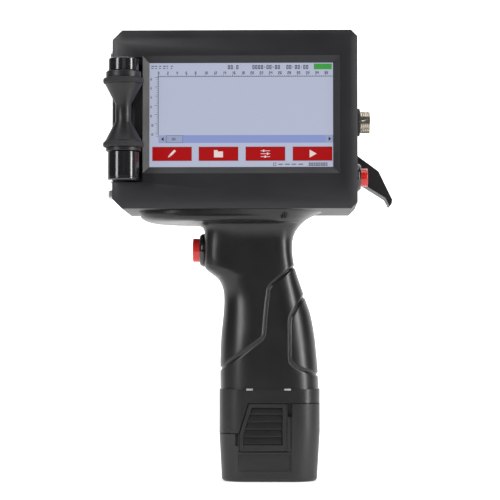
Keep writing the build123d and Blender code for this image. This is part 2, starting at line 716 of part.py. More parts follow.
def block_foot(z):
    """Foot that carries a roller block from the pocket's floor."""
    x = (ROLLER_X - BLOCK_FOOT_WIDTH / 2, ROLLER_X + BLOCK_FOOT_WIDTH / 2)
    return block((x[0], min(x[1], POCKET_FLOOR_RIGHT - SLIDE_GAP)), (ROLLER_Y, POCKET_Y), z)


def upper_roller_block():
    base = HUB_TOP + ROLLER_END_GAP
    body = rod("z", UPPER_BLOCK_R, (base, UPPER_BLOCK_TOP), (ROLLER_X, ROLLER_Y))
    body = fillet(body.edges().group_by(Axis.Z)[-1], BLOCK_EDGE)
    body += block_foot((base, UPPER_BLOCK_TOP - BLOCK_EDGE))
    body -= rod("z", BEARING_R + SEAT_GAP, (base - 1, base + BEARING_HEIGHT), (ROLLER_X, ROLLER_Y))
    for z in block_screw_heights(True):
        body -= rod("y", BOARD_SCREW_R + SEAT_GAP, (POCKET_Y - 5, POCKET_Y + 1), (ROLLER_X, z))
    return body


def lower_roller_block():
    """Encoder housing: bearing seat above, disc cavity below."""
    top = HUB_BOTTOM - ROLLER_END_GAP
    body = rod("z", LOWER_BLOCK_R, (LOWER_BLOCK_BOTTOM + CUP_CAP_THICK, top), (ROLLER_X, ROLLER_Y))
    body += block_foot((LOWER_BLOCK_BOTTOM + CUP_CAP_THICK, top))
    body -= rod("z", BEARING_R + SEAT_GAP, (top - BEARING_HEIGHT, top + 1), (ROLLER_X, ROLLER_Y))
    body -= rod("z", SHAFT_R + 0.4, (CUP_CAVITY_TOP - 1, top), (ROLLER_X, ROLLER_Y))
    body -= rod("z", CUP_CAVITY_R, (LOWER_BLOCK_BOTTOM, CUP_CAVITY_TOP), (ROLLER_X, ROLLER_Y))
    for z in block_screw_heights(False):
        body -= rod("y", BOARD_SCREW_R + SEAT_GAP, (POCKET_Y - 5, POCKET_Y + 1), (ROLLER_X, z))
    return body


def block_screw_heights(upper):
    """Heights of the screws that hold a block's foot."""
    if upper:
        return ((HUB_TOP + ROLLER_END_GAP + UPPER_BLOCK_TOP) / 2 - BLOCK_EDGE / 2,)
    return (CUP_CAVITY_TOP - 3.5, CUP_CAVITY_TOP + 3.0)


def block_screws():
    """Screws from inside the pocket's floor into both feet."""
    screws = []
    seat = POCKET_Y + STALL_WALL
    for z in block_screw_heights(True) + block_screw_heights(False):
        screw = rod("y", BOARD_SCREW_R, (POCKET_Y - 4.5, seat), (ROLLER_X, z))
        screws.append(screw + rod("y", BOARD_SCREW_R * 1.9, (seat, seat + 1.4), (ROLLER_X, z)))
    return screws


def encoder_cap():
    span = (LOWER_BLOCK_BOTTOM, LOWER_BLOCK_BOTTOM + CUP_CAP_THICK)
    cap = rod("z", LOWER_BLOCK_R, span, (ROLLER_X, ROLLER_Y))
    return fillet(cap.edges().group_by(Axis.Z)[0], BLOCK_EDGE)


def encoder_disc():
    span = (DISC_Z, DISC_Z + DISC_THICK)
    disc = tube("z", DISC_R, SHAFT_R, span, (ROLLER_X, ROLLER_Y))
    for step in range(12):
        turn = Pos(ROLLER_X, ROLLER_Y, DISC_Z) * Rot(0, 0, step * 30)
        disc -= turn * Pos(DISC_R - 1.3, 0, 0) * Box(1.4, 0.9, 4)
    return disc


def encoder_sensor():
    """Slotted sensor block under the disc, standing on the cap."""
    base = LOWER_BLOCK_BOTTOM + CUP_CAP_THICK
    y = (ROLLER_Y + 2.6, ROLLER_Y + 5.2)
    return block((ROLLER_X - 2.5, ROLLER_X + 2.5), y, (base, base + SENSOR_HEIGHT))


# ---------------------------------------------------------------- cartridge, stall and contacts

def cartridge_stall():
    """Open box that guides the cartridge from the rear mouth to the print face."""
    outer_z = (STALL_Z[0] - STALL_WALL, STALL_Z[1] + STALL_WALL)
    near_y = (STALL_NEAR - STALL_WALL, STALL_NEAR)
    stall = block((STALL_FRONT, INNER_RIGHT), near_y, outer_z)
    stall += block((STALL_FRONT, INNER_RIGHT), (near_y[0], WALL_BACK_Y), (outer_z[0], STALL_Z[0]))
    stall += block((STALL_FRONT, STALL_ROOF_END), (near_y[0], WALL_BACK_Y), (STALL_Z[1], outer_z[1]))
    stall += block((STALL_FRONT, STALL_FRONT + STALL_WALL), (near_y[0], WALL_BACK_Y), outer_z)
    snout_y = (SNOUT_Y[0] - SLIDE_GAP * 2, SNOUT_Y[1] + SLIDE_GAP * 2)
    snout_z = (SNOUT_Z[0] - SLIDE_GAP * 2, SNOUT_Z[1] + SLIDE_GAP * 2)
    stall -= block((STALL_FRONT - 1, STALL_FRONT + STALL_WALL + 1), snout_y, snout_z)
    window_x = (CONTACT_AREA_X[0] + 1, CONTACT_AREA_X[1] - 1)
    window_z = (CONTACT_AREA_Z[0] + 1, CONTACT_AREA_Z[1] - 1)
    stall -= block(window_x, (near_y[0] - 1, near_y[1] + 1), window_z)
    stall += rod("y", LEVER_PIN_R + STALL_WALL, near_y, (LEVER_PIN_X - 1, LEVER_PIN_Z))
    stall &= block((STALL_FRONT - 1, INNER_RIGHT), (near_y[0], WALL_BACK_Y), (HEAD_BOTTOM, INNER_TOP))
    return stall - rod("y", LEVER_PIN_R + SEAT_GAP, (near_y[0] - 1, near_y[1] + 1), (LEVER_PIN_X, LEVER_PIN_Z))


def pen_contact_board():
    y = (STALL_NEAR - STALL_WALL - CONTACT_BOARD_THICK, STALL_NEAR - STALL_WALL)
    return block(CONTACT_AREA_X, y, CONTACT_AREA_Z)


def contact_pins():
    """Sprung pins in a grid that touch the cartridge's contact film."""
    centre_x = (CONTACT_AREA_X[0] + CONTACT_AREA_X[1]) / 2
    centre_z = (CONTACT_AREA_Z[0] + CONTACT_AREA_Z[1]) / 2
    film = CARTRIDGE_Y[0] - CONTACT_FILM
    pins = []
    for column in range(CONTACT_PIN_COLUMNS):
        for row in range(CONTACT_PIN_ROWS):
            x = centre_x + (column - (CONTACT_PIN_COLUMNS - 1) / 2) * CONTACT_PIN_PITCH
            z = centre_z + (row - (CONTACT_PIN_ROWS - 1) / 2) * CONTACT_PIN_PITCH
            pins.append(rod("y", CONTACT_PIN_R, (STALL_NEAR - STALL_WALL, film - 0.1), (x, z)))
    return pins


def ink_cartridge():
    """Hollow ink tank with its print snout."""
    back = CARTRIDGE_FRONT + CARTRIDGE_LENGTH
    tank = block((CARTRIDGE_FRONT, back), CARTRIDGE_Y, CARTRIDGE_Z)
    tank = fillet(tank.edges().filter_by(Axis.X), CARTRIDGE_EDGE)
    snout = block((SNOUT_TIP, CARTRIDGE_FRONT + 1), SNOUT_Y, SNOUT_Z)
    tank += snout
    wall = CARTRIDGE_WALL
    inner_y = (CARTRIDGE_Y[0] + wall, CARTRIDGE_Y[1] - wall)
    inner_z = (CARTRIDGE_Z[0] + wall, CARTRIDGE_Z[1] - wall)
    return tank - block((CARTRIDGE_FRONT + wall, back + 1), inner_y, inner_z)


def cartridge_sponge():
    wall = CARTRIDGE_WALL + 0.3
    back = CARTRIDGE_FRONT + CARTRIDGE_LENGTH
    y = (CARTRIDGE_Y[0] + wall, CARTRIDGE_Y[1] - wall)
    return block((CARTRIDGE_FRONT + wall, back - 0.3), y, (CARTRIDGE_Z[0] + wall, CARTRIDGE_Z[1] - wall))


def cartridge_lid():
    back = CARTRIDGE_FRONT + CARTRIDGE_LENGTH
    lid = block((back, back + CARTRIDGE_LID), CARTRIDGE_Y, CARTRIDGE_Z)
    return fillet(lid.edges().filter_by(Axis.X), CARTRIDGE_EDGE)


def nozzle_plate():
    x = (SNOUT_TIP - NOZZLE_PLATE, SNOUT_TIP)
    y = (SNOUT_Y[0] + 1.5, SNOUT_Y[1] - 1.5)
    return block(x, y, (SNOUT_Z[0] + 2, SNOUT_Z[1] - 2))


def cartridge_contacts():
    y = (CARTRIDGE_Y[0] - CONTACT_FILM, CARTRIDGE_Y[0])
    x = (CONTACT_AREA_X[0], CONTACT_AREA_X[1] - 1)
    return block(x, y, (CONTACT_AREA_Z[0] + 1, CONTACT_AREA_Z[1] - 1))


# ---------------------------------------------------------------- latch lever

def latch_lever():
    """Lever hung across the stall's mouth, with a bent channel-shaped handle outside."""
    back = LEVER_PIN_X + 0.3
    outline = (
        (LEVER_BACK, LEVER_PIN_Z), (LEVER_BACK, 160.4), (50.4, 154.2), (60.9, 147.6), (63.1, 143.3),
        (64.3, 144.6), (64.6, 146.7), (57.4, 161.7), (back, 173.4), (back, LEVER_PIN_Z),
    )
    inner_top = (
        (back + 0.01, 181.0), (back + 0.01, 163.4), (51.4, 157.8), (61.6, 150.9), (64.0, 151.4), (70.0, 166.0),
    )
    cheek = (LEVER_Y[0] + LEVER_WALL, LEVER_Y[1] - LEVER_WALL)
    lever = side_slab(outline, LEVER_Y) - side_slab(inner_top, cheek)
    lever += rod("y", LEVER_EYE_R, LEVER_Y, (LEVER_PIN_X, LEVER_PIN_Z))
    bore = LEVER_PIN_R + RUNNING_GAP
    return lever - rod("y", bore, (LEVER_Y[0] - 1, LEVER_Y[1] + 1), (LEVER_PIN_X, LEVER_PIN_Z))


def lever_pad():
    x = (LEVER_BACK - LEVER_PAD, LEVER_BACK)
    return block(x, (LEVER_Y[0] + 3, LEVER_Y[1] - 3), (165.0, 182.0))


def lever_pin():
    y = (STALL_NEAR - STALL_WALL, WALL_BACK_Y + 1.1)
    return rod("y", LEVER_PIN_R, y, (LEVER_PIN_X, LEVER_PIN_Z))


# ---------------------------------------------------------------- panel connector

def connector_gasket():
    span = (HEAD_RIGHT, HEAD_RIGHT + SOCKET_GASKET)
    return tube("x", SOCKET_GASKET_R, SOCKET_NECK_R + SEAT_GAP, span, (SOCKET_Y, SOCKET_Z))


def connector_shell():
    face = HEAD_RIGHT + SOCKET_GASKET
    tip = HEAD_RIGHT + SOCKET_REACH
    at = (SOCKET_Y, SOCKET_Z)
    shell = rod("x", SOCKET_R, (face, tip), at) + rod("x", SOCKET_NECK_R, (SOCKET_INNER, face), at)
    shell -= rod("x", SOCKET_BORE_R, (tip - SOCKET_BORE_DEPTH, tip + 1), at)
    return shell - rod("x", SOCKET_BORE_R - 0.6, (SOCKET_INNER - 1, tip), at)


def connector_insert():
    tip = HEAD_RIGHT + SOCKET_REACH
    front = tip - SOCKET_BORE_DEPTH
    at = (SOCKET_Y, SOCKET_Z)
    insert = rod("x", SOCKET_BORE_R - 0.6, (SOCKET_INNER, front), at)
    insert += rod("x", SOCKET_BORE_R - SEAT_GAP, (front, front + 1.2), at)
    for place in connector_pin_places():
        insert -= rod("x", SOCKET_PIN_R, (SOCKET_INNER - 1, tip), place)
    return insert


def connector_pin_places():
    places = []
    for step in range(SOCKET_PINS):
        turn = math.radians(45 + step * 360 / SOCKET_PINS)
        y = SOCKET_Y + SOCKET_PIN_CIRCLE * math.cos(turn)
        places.append((y, SOCKET_Z + SOCKET_PIN_CIRCLE * math.sin(turn)))
    return places


def connector_pins():
    span = (SOCKET_INNER - 3, HEAD_RIGHT + SOCKET_REACH - 1.5)
    return [rod("x", SOCKET_PIN_R, span, place) for place in connector_pin_places()]


def hex_nut(across_flats, bore, span, at):
    """Hexagonal nut along X."""
    face = RegularPolygon(across_flats / 2, 6, major_radius=False)
    nut = Pos(span[0], at[0], at[1]) * Rot(0, 90, 0) * extrude(face, amount=span[1] - span[0])
    return nut - rod("x", bore, (span[0] - 1, span[1] + 1), at)


def connector_nut():
    span = (INNER_RIGHT - SOCKET_NUT, INNER_RIGHT)
    return hex_nut(SOCKET_NUT_AF, SOCKET_NECK_R + SEAT_GAP, span, (SOCKET_Y, SOCKET_Z))


# ---------------------------------------------------------------- push buttons

def button_body(face, out, inner, bezel_r, bezel, barrel_r, cap_r, at):
    """Domed bezel and barrel of a push button; out is +1 or -1 along X."""
    rim = cap_r + RUNNING_GAP + 0.5
    profile = (
        (face, 0), (face, bezel_r), (face + out * bezel * 0.35, bezel_r),
        (face + out * bezel * 0.75, bezel_r - (bezel_r - rim) * 0.35), (face + out * bezel, rim),
        (face + out * bezel, 0),
    )
    body = turned_x(profile, at)
    low, high = sorted((face, inner))
    body += rod("x", barrel_r, (low, high), at)
    well = sorted((inner + out * BUTTON_FLOOR, face + out * (bezel + 1)))
    body -= rod("x", cap_r + RUNNING_GAP, well, at)
    return body - rod("x", BUTTON_STEM_R + RUNNING_GAP, sorted((inner - out, face)), at)


def button_cap(face, out, inner, bezel, cap_r, proud, travel, at):
    """Cap with its guide stem."""
    top = face + out * (bezel + proud)
    head = rod("x", cap_r, sorted((top, face - out * travel)), at)
    edges = head.edges().filter_by(GeomType.CIRCLE).sort_by(Axis.X)
    outer = edges[-1] if out > 0 else edges[0]
    head = fillet(outer, 0.5)
    stem_end = inner + out * (BUTTON_FLOOR * 0.5 + travel)
    return head + rod("x", BUTTON_STEM_R, sorted((stem_end, face)), at)


def power_button_body():
    return button_body(HEAD_RIGHT, 1, POWER_INNER, POWER_BEZEL_R, POWER_BEZEL, POWER_BARREL_R,
                       POWER_CAP_R, (POWER_Y, POWER_Z))


def power_button_cap():
    return button_cap(HEAD_RIGHT, 1, POWER_INNER, POWER_BEZEL, POWER_CAP_R, POWER_CAP, POWER_TRAVEL,
                      (POWER_Y, POWER_Z))


def power_button_nut():
    span = (INNER_RIGHT - BUTTON_NUT, INNER_RIGHT)
    return tube("x", POWER_BARREL_R + BUTTON_NUT_RIM, POWER_BARREL_R + SEAT_GAP, span, (POWER_Y, POWER_Z))


def trigger_body():
    return button_body(TRIGGER_FACE, -1, TRIGGER_FACE + TRIGGER_LENGTH, TRIGGER_BEZEL_R, TRIGGER_BEZEL,
                       TRIGGER_BARREL_R, TRIGGER_CAP_R, (0, TRIGGER_Z))


def trigger_cap():
    return button_cap(TRIGGER_FACE, -1, TRIGGER_FACE + TRIGGER_LENGTH, TRIGGER_BEZEL, TRIGGER_CAP_R,
                      TRIGGER_CAP, TRIGGER_TRAVEL, (0, TRIGGER_Z))


def trigger_nut():
    seat = TRIGGER_FACE + GRIP_WALL
    span = (seat + 0.1, seat + 0.1 + BUTTON_NUT)
    return tube("x", TRIGGER_BARREL_R + BUTTON_NUT_RIM, TRIGGER_BARREL_R + SEAT_GAP, span, (0, TRIGGER_Z))


# ---------------------------------------------------------------- shoulder and grip

def grip_solid(side, inset=0.0):
    """Grip above the collar, or one side of it, with the trigger's boss and the flare at its top."""
    return stack(GRIP_SECTIONS, inset, side, ruled=True)


def shoulder():
    """Shallow slab that spreads the grip under the head."""
    outline = rounded(SHOULDER_LEFT, SHOULDER_RIGHT, SHOULDER_HALF, SHOULDER_ROUND)
    slab = Pos(0, 0, SHOULDER_BOTTOM) * extrude(outline, amount=SHOULDER_TOP - SHOULDER_BOTTOM)
    return fillet(slab.edges().group_by(Axis.Z)[0], SHOULDER_EDGE)


def split_region(gap):
    """Side view of everything above the battery's parting line, moved up by gap."""
    return (
        (-FAR, PACK_LOW + gap), (LATCH_FOOT_LEFT - 1.2 - gap, PACK_LOW + gap),
        (LATCH_FOOT_LEFT - gap, PACK_LOW + gap), (LATCH_TOP_LEFT - gap, PACK_HIGH + gap),
        (FAR, PACK_HIGH + gap), (FAR, FAR), (-FAR, FAR),
    )


def collar(side):
    """Skirt round the top of the battery, down to the parting line."""
    outline = rounded(COLLAR_LEFT, COLLAR_RIGHT, COLLAR_HALF, COLLAR_ROUND, side)
    ring = Pos(0, 0, PACK_LOW) * extrude(outline, amount=COLLAR_TOP - PACK_LOW)
    return ring & side_slab(split_region(SPLIT_GAP), (-FAR, FAR))


def grip_cavity():
    """Room inside the grip for the battery tower, the terminals and the trigger's barrel."""
    wall = GRIP_WALL
    outline = rounded(COLLAR_LEFT + wall, COLLAR_RIGHT - wall, COLLAR_HALF - wall, COLLAR_ROUND - wall)
    cavity = grip_solid(0, wall) + extrude(outline, amount=COLLAR_TOP + 0.5)
    return cavity + block(WIRE_HOLE_X, WIRE_HOLE_Y, (SHOULDER_BOTTOM, SHOULDER_TOP + 1))


def trigger_seat():
    """Spot face, barrel hole and nut recess for the trigger."""
    at = (0, TRIGGER_Z)
    back = TRIGGER_FACE + GRIP_WALL
    seat = rod("x", TRIGGER_BEZEL_R + SLIDE_GAP, (TRIGGER_FACE - 5, TRIGGER_FACE), at)
    seat += rod("x", TRIGGER_BARREL_R + SEAT_GAP, (TRIGGER_FACE - 1, back + 1), at)
    return seat + rod("x", TRIGGER_BARREL_R + BUTTON_NUT_RIM + SLIDE_GAP, (back, back + BUTTON_NUT + 1), at)


def grip_half(side):
    """One moulded half of the grip, at side -1 or +1, with its share of the screw bosses."""
    near = side < 0
    side_y = (-FAR, 0) if near else (0, FAR)
    slab = shoulder() & block((-FAR, FAR), side_y, (0, FAR))
    half = grip_solid(side) + slab + collar(side) - grip_cavity()
    inside = grip_solid(0, GRIP_WALL / 2)
    for place in GRIP_SCREWS:
        boss_r = GRIP_BOSS_R if near else GRIP_BOSS_R + 1
        half += rod("y", boss_r, side_y, place) & inside
        half -= rod("y", GRIP_SCREW_R + SEAT_GAP, (GRIP_SCREW_TIP, FAR), place)
        if not near:
            half -= rod("y", GRIP_SCREW_HEAD_R + SEAT_GAP * 2, (GRIP_SCREW_SEAT, FAR), place)
    half -= trigger_seat()
    for x, y in MOUNT_SCREWS:
        depth = (SHOULDER_TOP - MOUNT_SCREW_LENGTH, SHOULDER_TOP + 1)
        half -= rod("z", MOUNT_SCREW_R + SEAT_GAP, depth, (x, y))
    return half


def mount_screws():
    """Screws from inside the head's floor into the shoulder."""
    screws = []
    for place in MOUNT_SCREWS:
        screw = rod("z", MOUNT_SCREW_R, (SHOULDER_TOP - MOUNT_SCREW_LENGTH + 0.5, INNER_BOTTOM), place)
        screws.append(screw + rod("z", MOUNT_SCREW_R * 1.8, (INNER_BOTTOM, INNER_BOTTOM + 2.0), place))
    return screws


def grip_screws():
    screws = []
    for place in GRIP_SCREWS:
        screw = rod("y", GRIP_SCREW_R, (GRIP_SCREW_TIP + 0.5, GRIP_SCREW_SEAT), place)
        head = rod("y", GRIP_SCREW_HEAD_R, (GRIP_SCREW_SEAT, GRIP_SCREW_SEAT + GRIP_SCREW_HEAD), place)
        drive = rod("y", GRIP_SCREW_R * 0.7, (GRIP_SCREW_SEAT + 0.8, FAR), place)
        screws.append(screw + head - drive)
    return screws


# ---------------------------------------------------------------- battery terminals in the grip

def terminal_block():
    """Moulded block above the battery tower, seated between the grip halves."""
    half_x, half_y = TERMINAL_HALF
    body = block((-half_x, half_x), (-half_y, half_y), (TERMINAL_BOTTOM, TERMINAL_TOP))
    for x in contact_places():
        body -= block((x - 1.2, x + 1.2), (-CONTACT_SIZE[1] / 2 - 1, CONTACT_SIZE[1] / 2 + 1),
                      (TERMINAL_BOTTOM - 1, TERMINAL_BOTTOM + 5))
    return body


def contact_places():
    return [(index - (CONTACT_COUNT - 1) / 2) * CONTACT_PITCH for index in range(CONTACT_COUNT)]


def terminal_clips():
    """Sprung clips in the block's slots, above the battery's blades."""
    width = CONTACT_SIZE[1] / 2
    clips = []
    for x in contact_places():
        clips.append(block((x + 0.7, x + 1.2), (-width, width), (TERMINAL_BOTTOM, TERMINAL_BOTTOM + 5)))
    return clips


def battery_blades():
    width = CONTACT_SIZE[1] / 2
    half = CONTACT_SIZE[0] / 2
    top = TOWER_TOP + CONTACT_SIZE[2]
    return [block((x - half, x + half), (-width, width), (TOWER_TOP, top)) for x in contact_places()]


def power_leads():
    """Two insulated leads from the terminal block up to the board's plug socket."""
    header_y = BOARD_Y + BOARD_THICK + 2.6
    leads = []
    for x in LEAD_X:
        start = Vector(x, LEAD_Y, TERMINAL_TOP)
        low = Vector(x, LEAD_Y, INNER_BOTTOM - 6)
        high = Vector(x, header_y, INNER_BOTTOM + 2.5)
        end = Vector(x, header_y, BOARD_BOTTOM)
        path = FilletPolyline(start, low, high, end, radius=LEAD_BEND)
        section = Plane(origin=start, z_dir=(0, 0, 1)) * Circle(LEAD_R)
        leads.append(sweep(section, path=path))
    return leads


# ---------------------------------------------------------------- battery pack

def pack_outer(inset=0.0):
    """Outer form of the pack, tapered to its base and straight above the last section."""
    lower = stack(PACK_SECTIONS, inset, ruled=True)
    top, left, right, half, corner = PACK_SECTIONS[-1]
    outline = rounded(left + inset, right - inset, half - inset, corner - inset)
    upper = Pos(0, 0, top) * extrude(outline, amount=PACK_HIGH - top)
    return lower + upper


def latch_outline(grow=0.0):
    """Trapezoid of the pack's release latch in side view."""
    return (
        (LATCH_TOP_LEFT - grow, PACK_HIGH + grow), (LATCH_RIGHT + grow, PACK_HIGH + grow),
        (LATCH_RIGHT + grow, LATCH_FOOT - grow), (LATCH_FOOT_LEFT - grow, LATCH_FOOT - grow),
        (LATCH_FOOT_LEFT - grow, PACK_LOW),
    )


def battery_case():
    """Lower shell of the pack, open above, with a window in each side for its latch."""
    outer = pack_outer()
    outer = fillet(outer.edges().group_by(Axis.Z)[0], PACK_EDGE)
    cavity = pack_outer(PACK_WALL) & block((-FAR, FAR), (-FAR, FAR), (PACK_FLOOR, FAR))
    above = side_slab(split_region(0.0), (-FAR, FAR))
    case = outer - cavity - above
    return case - side_slab(latch_outline(SLIDE_GAP), (-FAR, FAR))


def battery_tower():
    """Closed sleeve for the cells that slides up inside the grip."""
    width = 2 * TOWER_HALF_X
    depth = 2 * TOWER_HALF_Y
    height = TOWER_TOP - TOWER_BOTTOM
    tower = Pos(0, 0, TOWER_BOTTOM) * extrude(RectangleRounded(width, depth, TOWER_ROUND), amount=height)
    wall = TOWER_WALL
    inner = RectangleRounded(width - 2 * wall, depth - 2 * wall, TOWER_ROUND - wall)
    return tower - Pos(0, 0, TOWER_BOTTOM + wall) * extrude(inner, amount=height - 2 * wall)


def battery_cells():
    """Three round cells standing in a triangle."""
    base = TOWER_BOTTOM + TOWER_WALL
    span = (base, base + CELL_LENGTH)
    places = ((-CELL_STEP / 2, -CELL_ROW / 2), (CELL_STEP / 2, -CELL_ROW / 2), (0, CELL_ROW / 2))
    return [rod("z", CELL_R, span, place) for place in places]


def battery_latch():
    """Release latch on the near side: a rimmed trapezoid with a sunken ribbed finger pad."""
    outer_y = -COLLAR_HALF
    latch = side_slab(latch_outline(), (outer_y, outer_y + LATCH_THICK))
    rim = LATCH_RIM
    pad = (
        (LATCH_TOP_LEFT + rim, PACK_HIGH - rim), (LATCH_RIGHT - rim, PACK_HIGH - rim),
        (LATCH_RIGHT - rim, LATCH_FOOT + 2 * rim), (LATCH_FOOT_LEFT + rim, LATCH_FOOT + 2 * rim),
        (LATCH_FOOT_LEFT + rim, PACK_LOW),
    )
    latch -= side_slab(pad, (outer_y - 1, outer_y + LATCH_RIB_RELIEF))
    low = LATCH_FOOT + 2 * rim
    pitch = (PACK_HIGH - rim - low) / LATCH_RIBS
    for index in range(LATCH_RIBS):
        middle = low + (index + 0.5) * pitch
        left = LATCH_FOOT_LEFT + rim + 0.8
        if middle > PACK_LOW:
            share = (middle + pitch / 2 - PACK_LOW) / (PACK_HIGH - PACK_LOW)
            left += share * (LATCH_TOP_LEFT - LATCH_FOOT_LEFT)
        rib_x = (left, LATCH_RIGHT - rim - 0.6)
        rib_z = (middle - pitch * LATCH_RIB_SHARE / 2, middle + pitch * LATCH_RIB_SHARE / 2)
        latch += block(rib_x, (outer_y + LATCH_RIB_SINK, outer_y + LATCH_RIB_RELIEF), rib_z)
    return latch


# ---------------------------------------------------------------- write every node

def main():
    os.makedirs("parts", exist_ok=True)
    save(front_cover(), "front_cover")
    save(rear_cover(), "rear_cover")
    save_group(cover_screws(), "cover_screws")
    save(print_face_plate(), "print_face_plate")
    save_group(plate_screws(), "plate_screws")
    save(guide_wheel(), "guide_wheel")
    save(guide_wheel_pin(), "guide_wheel_pin")
    save(screen_gasket(), "screen_gasket")
    save(touch_panel(), "touch_panel")
    save(lcd_panel(), "lcd_panel")
    save(lcd_frame(), "lcd_frame")
    save_group(board_standoffs(), "board_standoffs")
    save(main_board(), "main_board")
    save_group(board_screws() + block_screws(), "small_screws")
    save_group(board_chips() + [backup_cell(), power_header()], "board_components")
    save_group([usb_socket(), usb_tongue()], "usb_socket")
    save(roller_hub(), "roller_hub")
    save_group(roller_treads(), "roller_treads")
    save(roller_shaft(), "roller_shaft")
    save_group(roller_bearings(), "roller_bearings")
    save(upper_roller_block(), "upper_roller_block")
    save(lower_roller_block(), "lower_roller_block")
    save(encoder_cap(), "encoder_cap")
    save(encoder_disc(), "encoder_disc")
    save(encoder_sensor(), "encoder_sensor")
    save(cartridge_stall(), "cartridge_stall")
    save(pen_contact_board(), "pen_contact_board")
    save_group(contact_pins(), "contact_pins")
    save(ink_cartridge(), "ink_cartridge")
    save(cartridge_sponge(), "cartridge_sponge")
    save(cartridge_lid(), "cartridge_lid")
    save(nozzle_plate(), "nozzle_plate")
    save(cartridge_contacts(), "cartridge_contacts")
    save(latch_lever(), "latch_lever")
    save(lever_pad(), "lever_pad")
    save(lever_pin(), "lever_pin")
    save(connector_gasket(), "connector_gasket")
    save(connector_shell(), "connector_shell")
    save(connector_insert(), "connector_insert")
    save_group(connector_pins(), "connector_pins")
    save(connector_nut(), "connector_nut")
    save(power_button_body(), "power_button_body")
    save(power_button_cap(), "power_button_cap")
    save(power_button_nut(), "power_button_nut")
    save(trigger_body(), "trigger_body")
    save(trigger_cap(), "trigger_cap")
    save(trigger_nut(), "trigger_nut")
    save(grip_half(-1), "grip_near_half")
    save(grip_half(1), "grip_far_half")
    save_group(grip_screws(), "grip_screws")
    save_group(mount_screws(), "mount_screws")
    save(terminal_block(), "terminal_block")
    save_group(terminal_clips(), "terminal_clips")
    save_group(power_leads(), "power_leads")
    save(battery_case(), "battery_case")
    save(battery_tower(), "battery_tower")
    save_group(battery_cells(), "battery_cells")
    save_group(battery_blades(), "battery_blades")
    save(battery_latch(), "battery_latch_near")
    save(mirror_y(battery_latch()), "battery_latch_far")


if __name__ == "__main__":
    main()
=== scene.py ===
import json
import math

import bmesh
import bpy
from mathutils import Matrix, Vector


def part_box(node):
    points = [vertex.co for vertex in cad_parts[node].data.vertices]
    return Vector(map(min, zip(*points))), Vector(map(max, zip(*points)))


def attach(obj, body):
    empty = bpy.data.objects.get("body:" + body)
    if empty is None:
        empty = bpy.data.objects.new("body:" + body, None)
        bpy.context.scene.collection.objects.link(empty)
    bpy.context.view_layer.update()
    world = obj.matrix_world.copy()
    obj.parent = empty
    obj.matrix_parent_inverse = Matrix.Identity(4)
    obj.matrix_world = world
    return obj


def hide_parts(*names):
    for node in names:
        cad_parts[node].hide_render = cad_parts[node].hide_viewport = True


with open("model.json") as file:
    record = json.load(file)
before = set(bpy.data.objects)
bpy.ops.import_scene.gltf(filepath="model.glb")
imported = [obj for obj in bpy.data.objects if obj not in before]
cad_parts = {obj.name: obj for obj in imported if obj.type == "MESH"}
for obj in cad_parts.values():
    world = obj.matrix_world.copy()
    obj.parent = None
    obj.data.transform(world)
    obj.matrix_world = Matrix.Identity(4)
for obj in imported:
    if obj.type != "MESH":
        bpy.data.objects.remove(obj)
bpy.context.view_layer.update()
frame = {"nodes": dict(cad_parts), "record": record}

MM = 0.001
BODY_OF = {node: body for body, nodes in frame["record"]["behaviour"]["bodies"].items() for node in nodes}
SLOT_OF = {part["node"]: part["material_slot"] for part in frame["record"]["subparts"]}


# ---------------------------------------------------------------- materials

def surface_group():
    """Shared surface variation: fine grain as a normal, and slow patches as a mask."""
    group = bpy.data.node_groups.new("surface variation", "ShaderNodeTree")
    face = group.interface
    for name in ("Grain scale", "Grain depth", "Patch scale"):
        face.new_socket(name, in_out="INPUT", socket_type="NodeSocketFloat")
    face.new_socket("Normal", in_out="OUTPUT", socket_type="NodeSocketVector")
    face.new_socket("Patches", in_out="OUTPUT", socket_type="NodeSocketFloat")
    nodes, links = group.nodes, group.links
    entry = nodes.new("NodeGroupInput")
    leave = nodes.new("NodeGroupOutput")
    where = nodes.new("ShaderNodeTexCoord")
    grain = nodes.new("ShaderNodeTexNoise")
    grain.inputs["Detail"].default_value = 3.0
    patches = nodes.new("ShaderNodeTexNoise")
    patches.inputs["Detail"].default_value = 5.0
    patches.inputs["Roughness"].default_value = 0.6
    bump = nodes.new("ShaderNodeBump")
    links.new(where.outputs["Object"], grain.inputs["Vector"])
    links.new(where.outputs["Object"], patches.inputs["Vector"])
    links.new(entry.outputs["Grain scale"], grain.inputs["Scale"])
    links.new(entry.outputs["Patch scale"], patches.inputs["Scale"])
    links.new(entry.outputs["Grain depth"], bump.inputs["Distance"])
    links.new(grain.outputs["Fac"], bump.inputs["Height"])
    links.new(bump.outputs["Normal"], leave.inputs["Normal"])
    links.new(patches.outputs["Fac"], leave.inputs["Patches"])
    return group


SURFACE = surface_group()
PATCH_SCALE = 45.0
PATCH_SPAN = (0.3, 0.7)
COAT_ROUGHNESS = 0.08


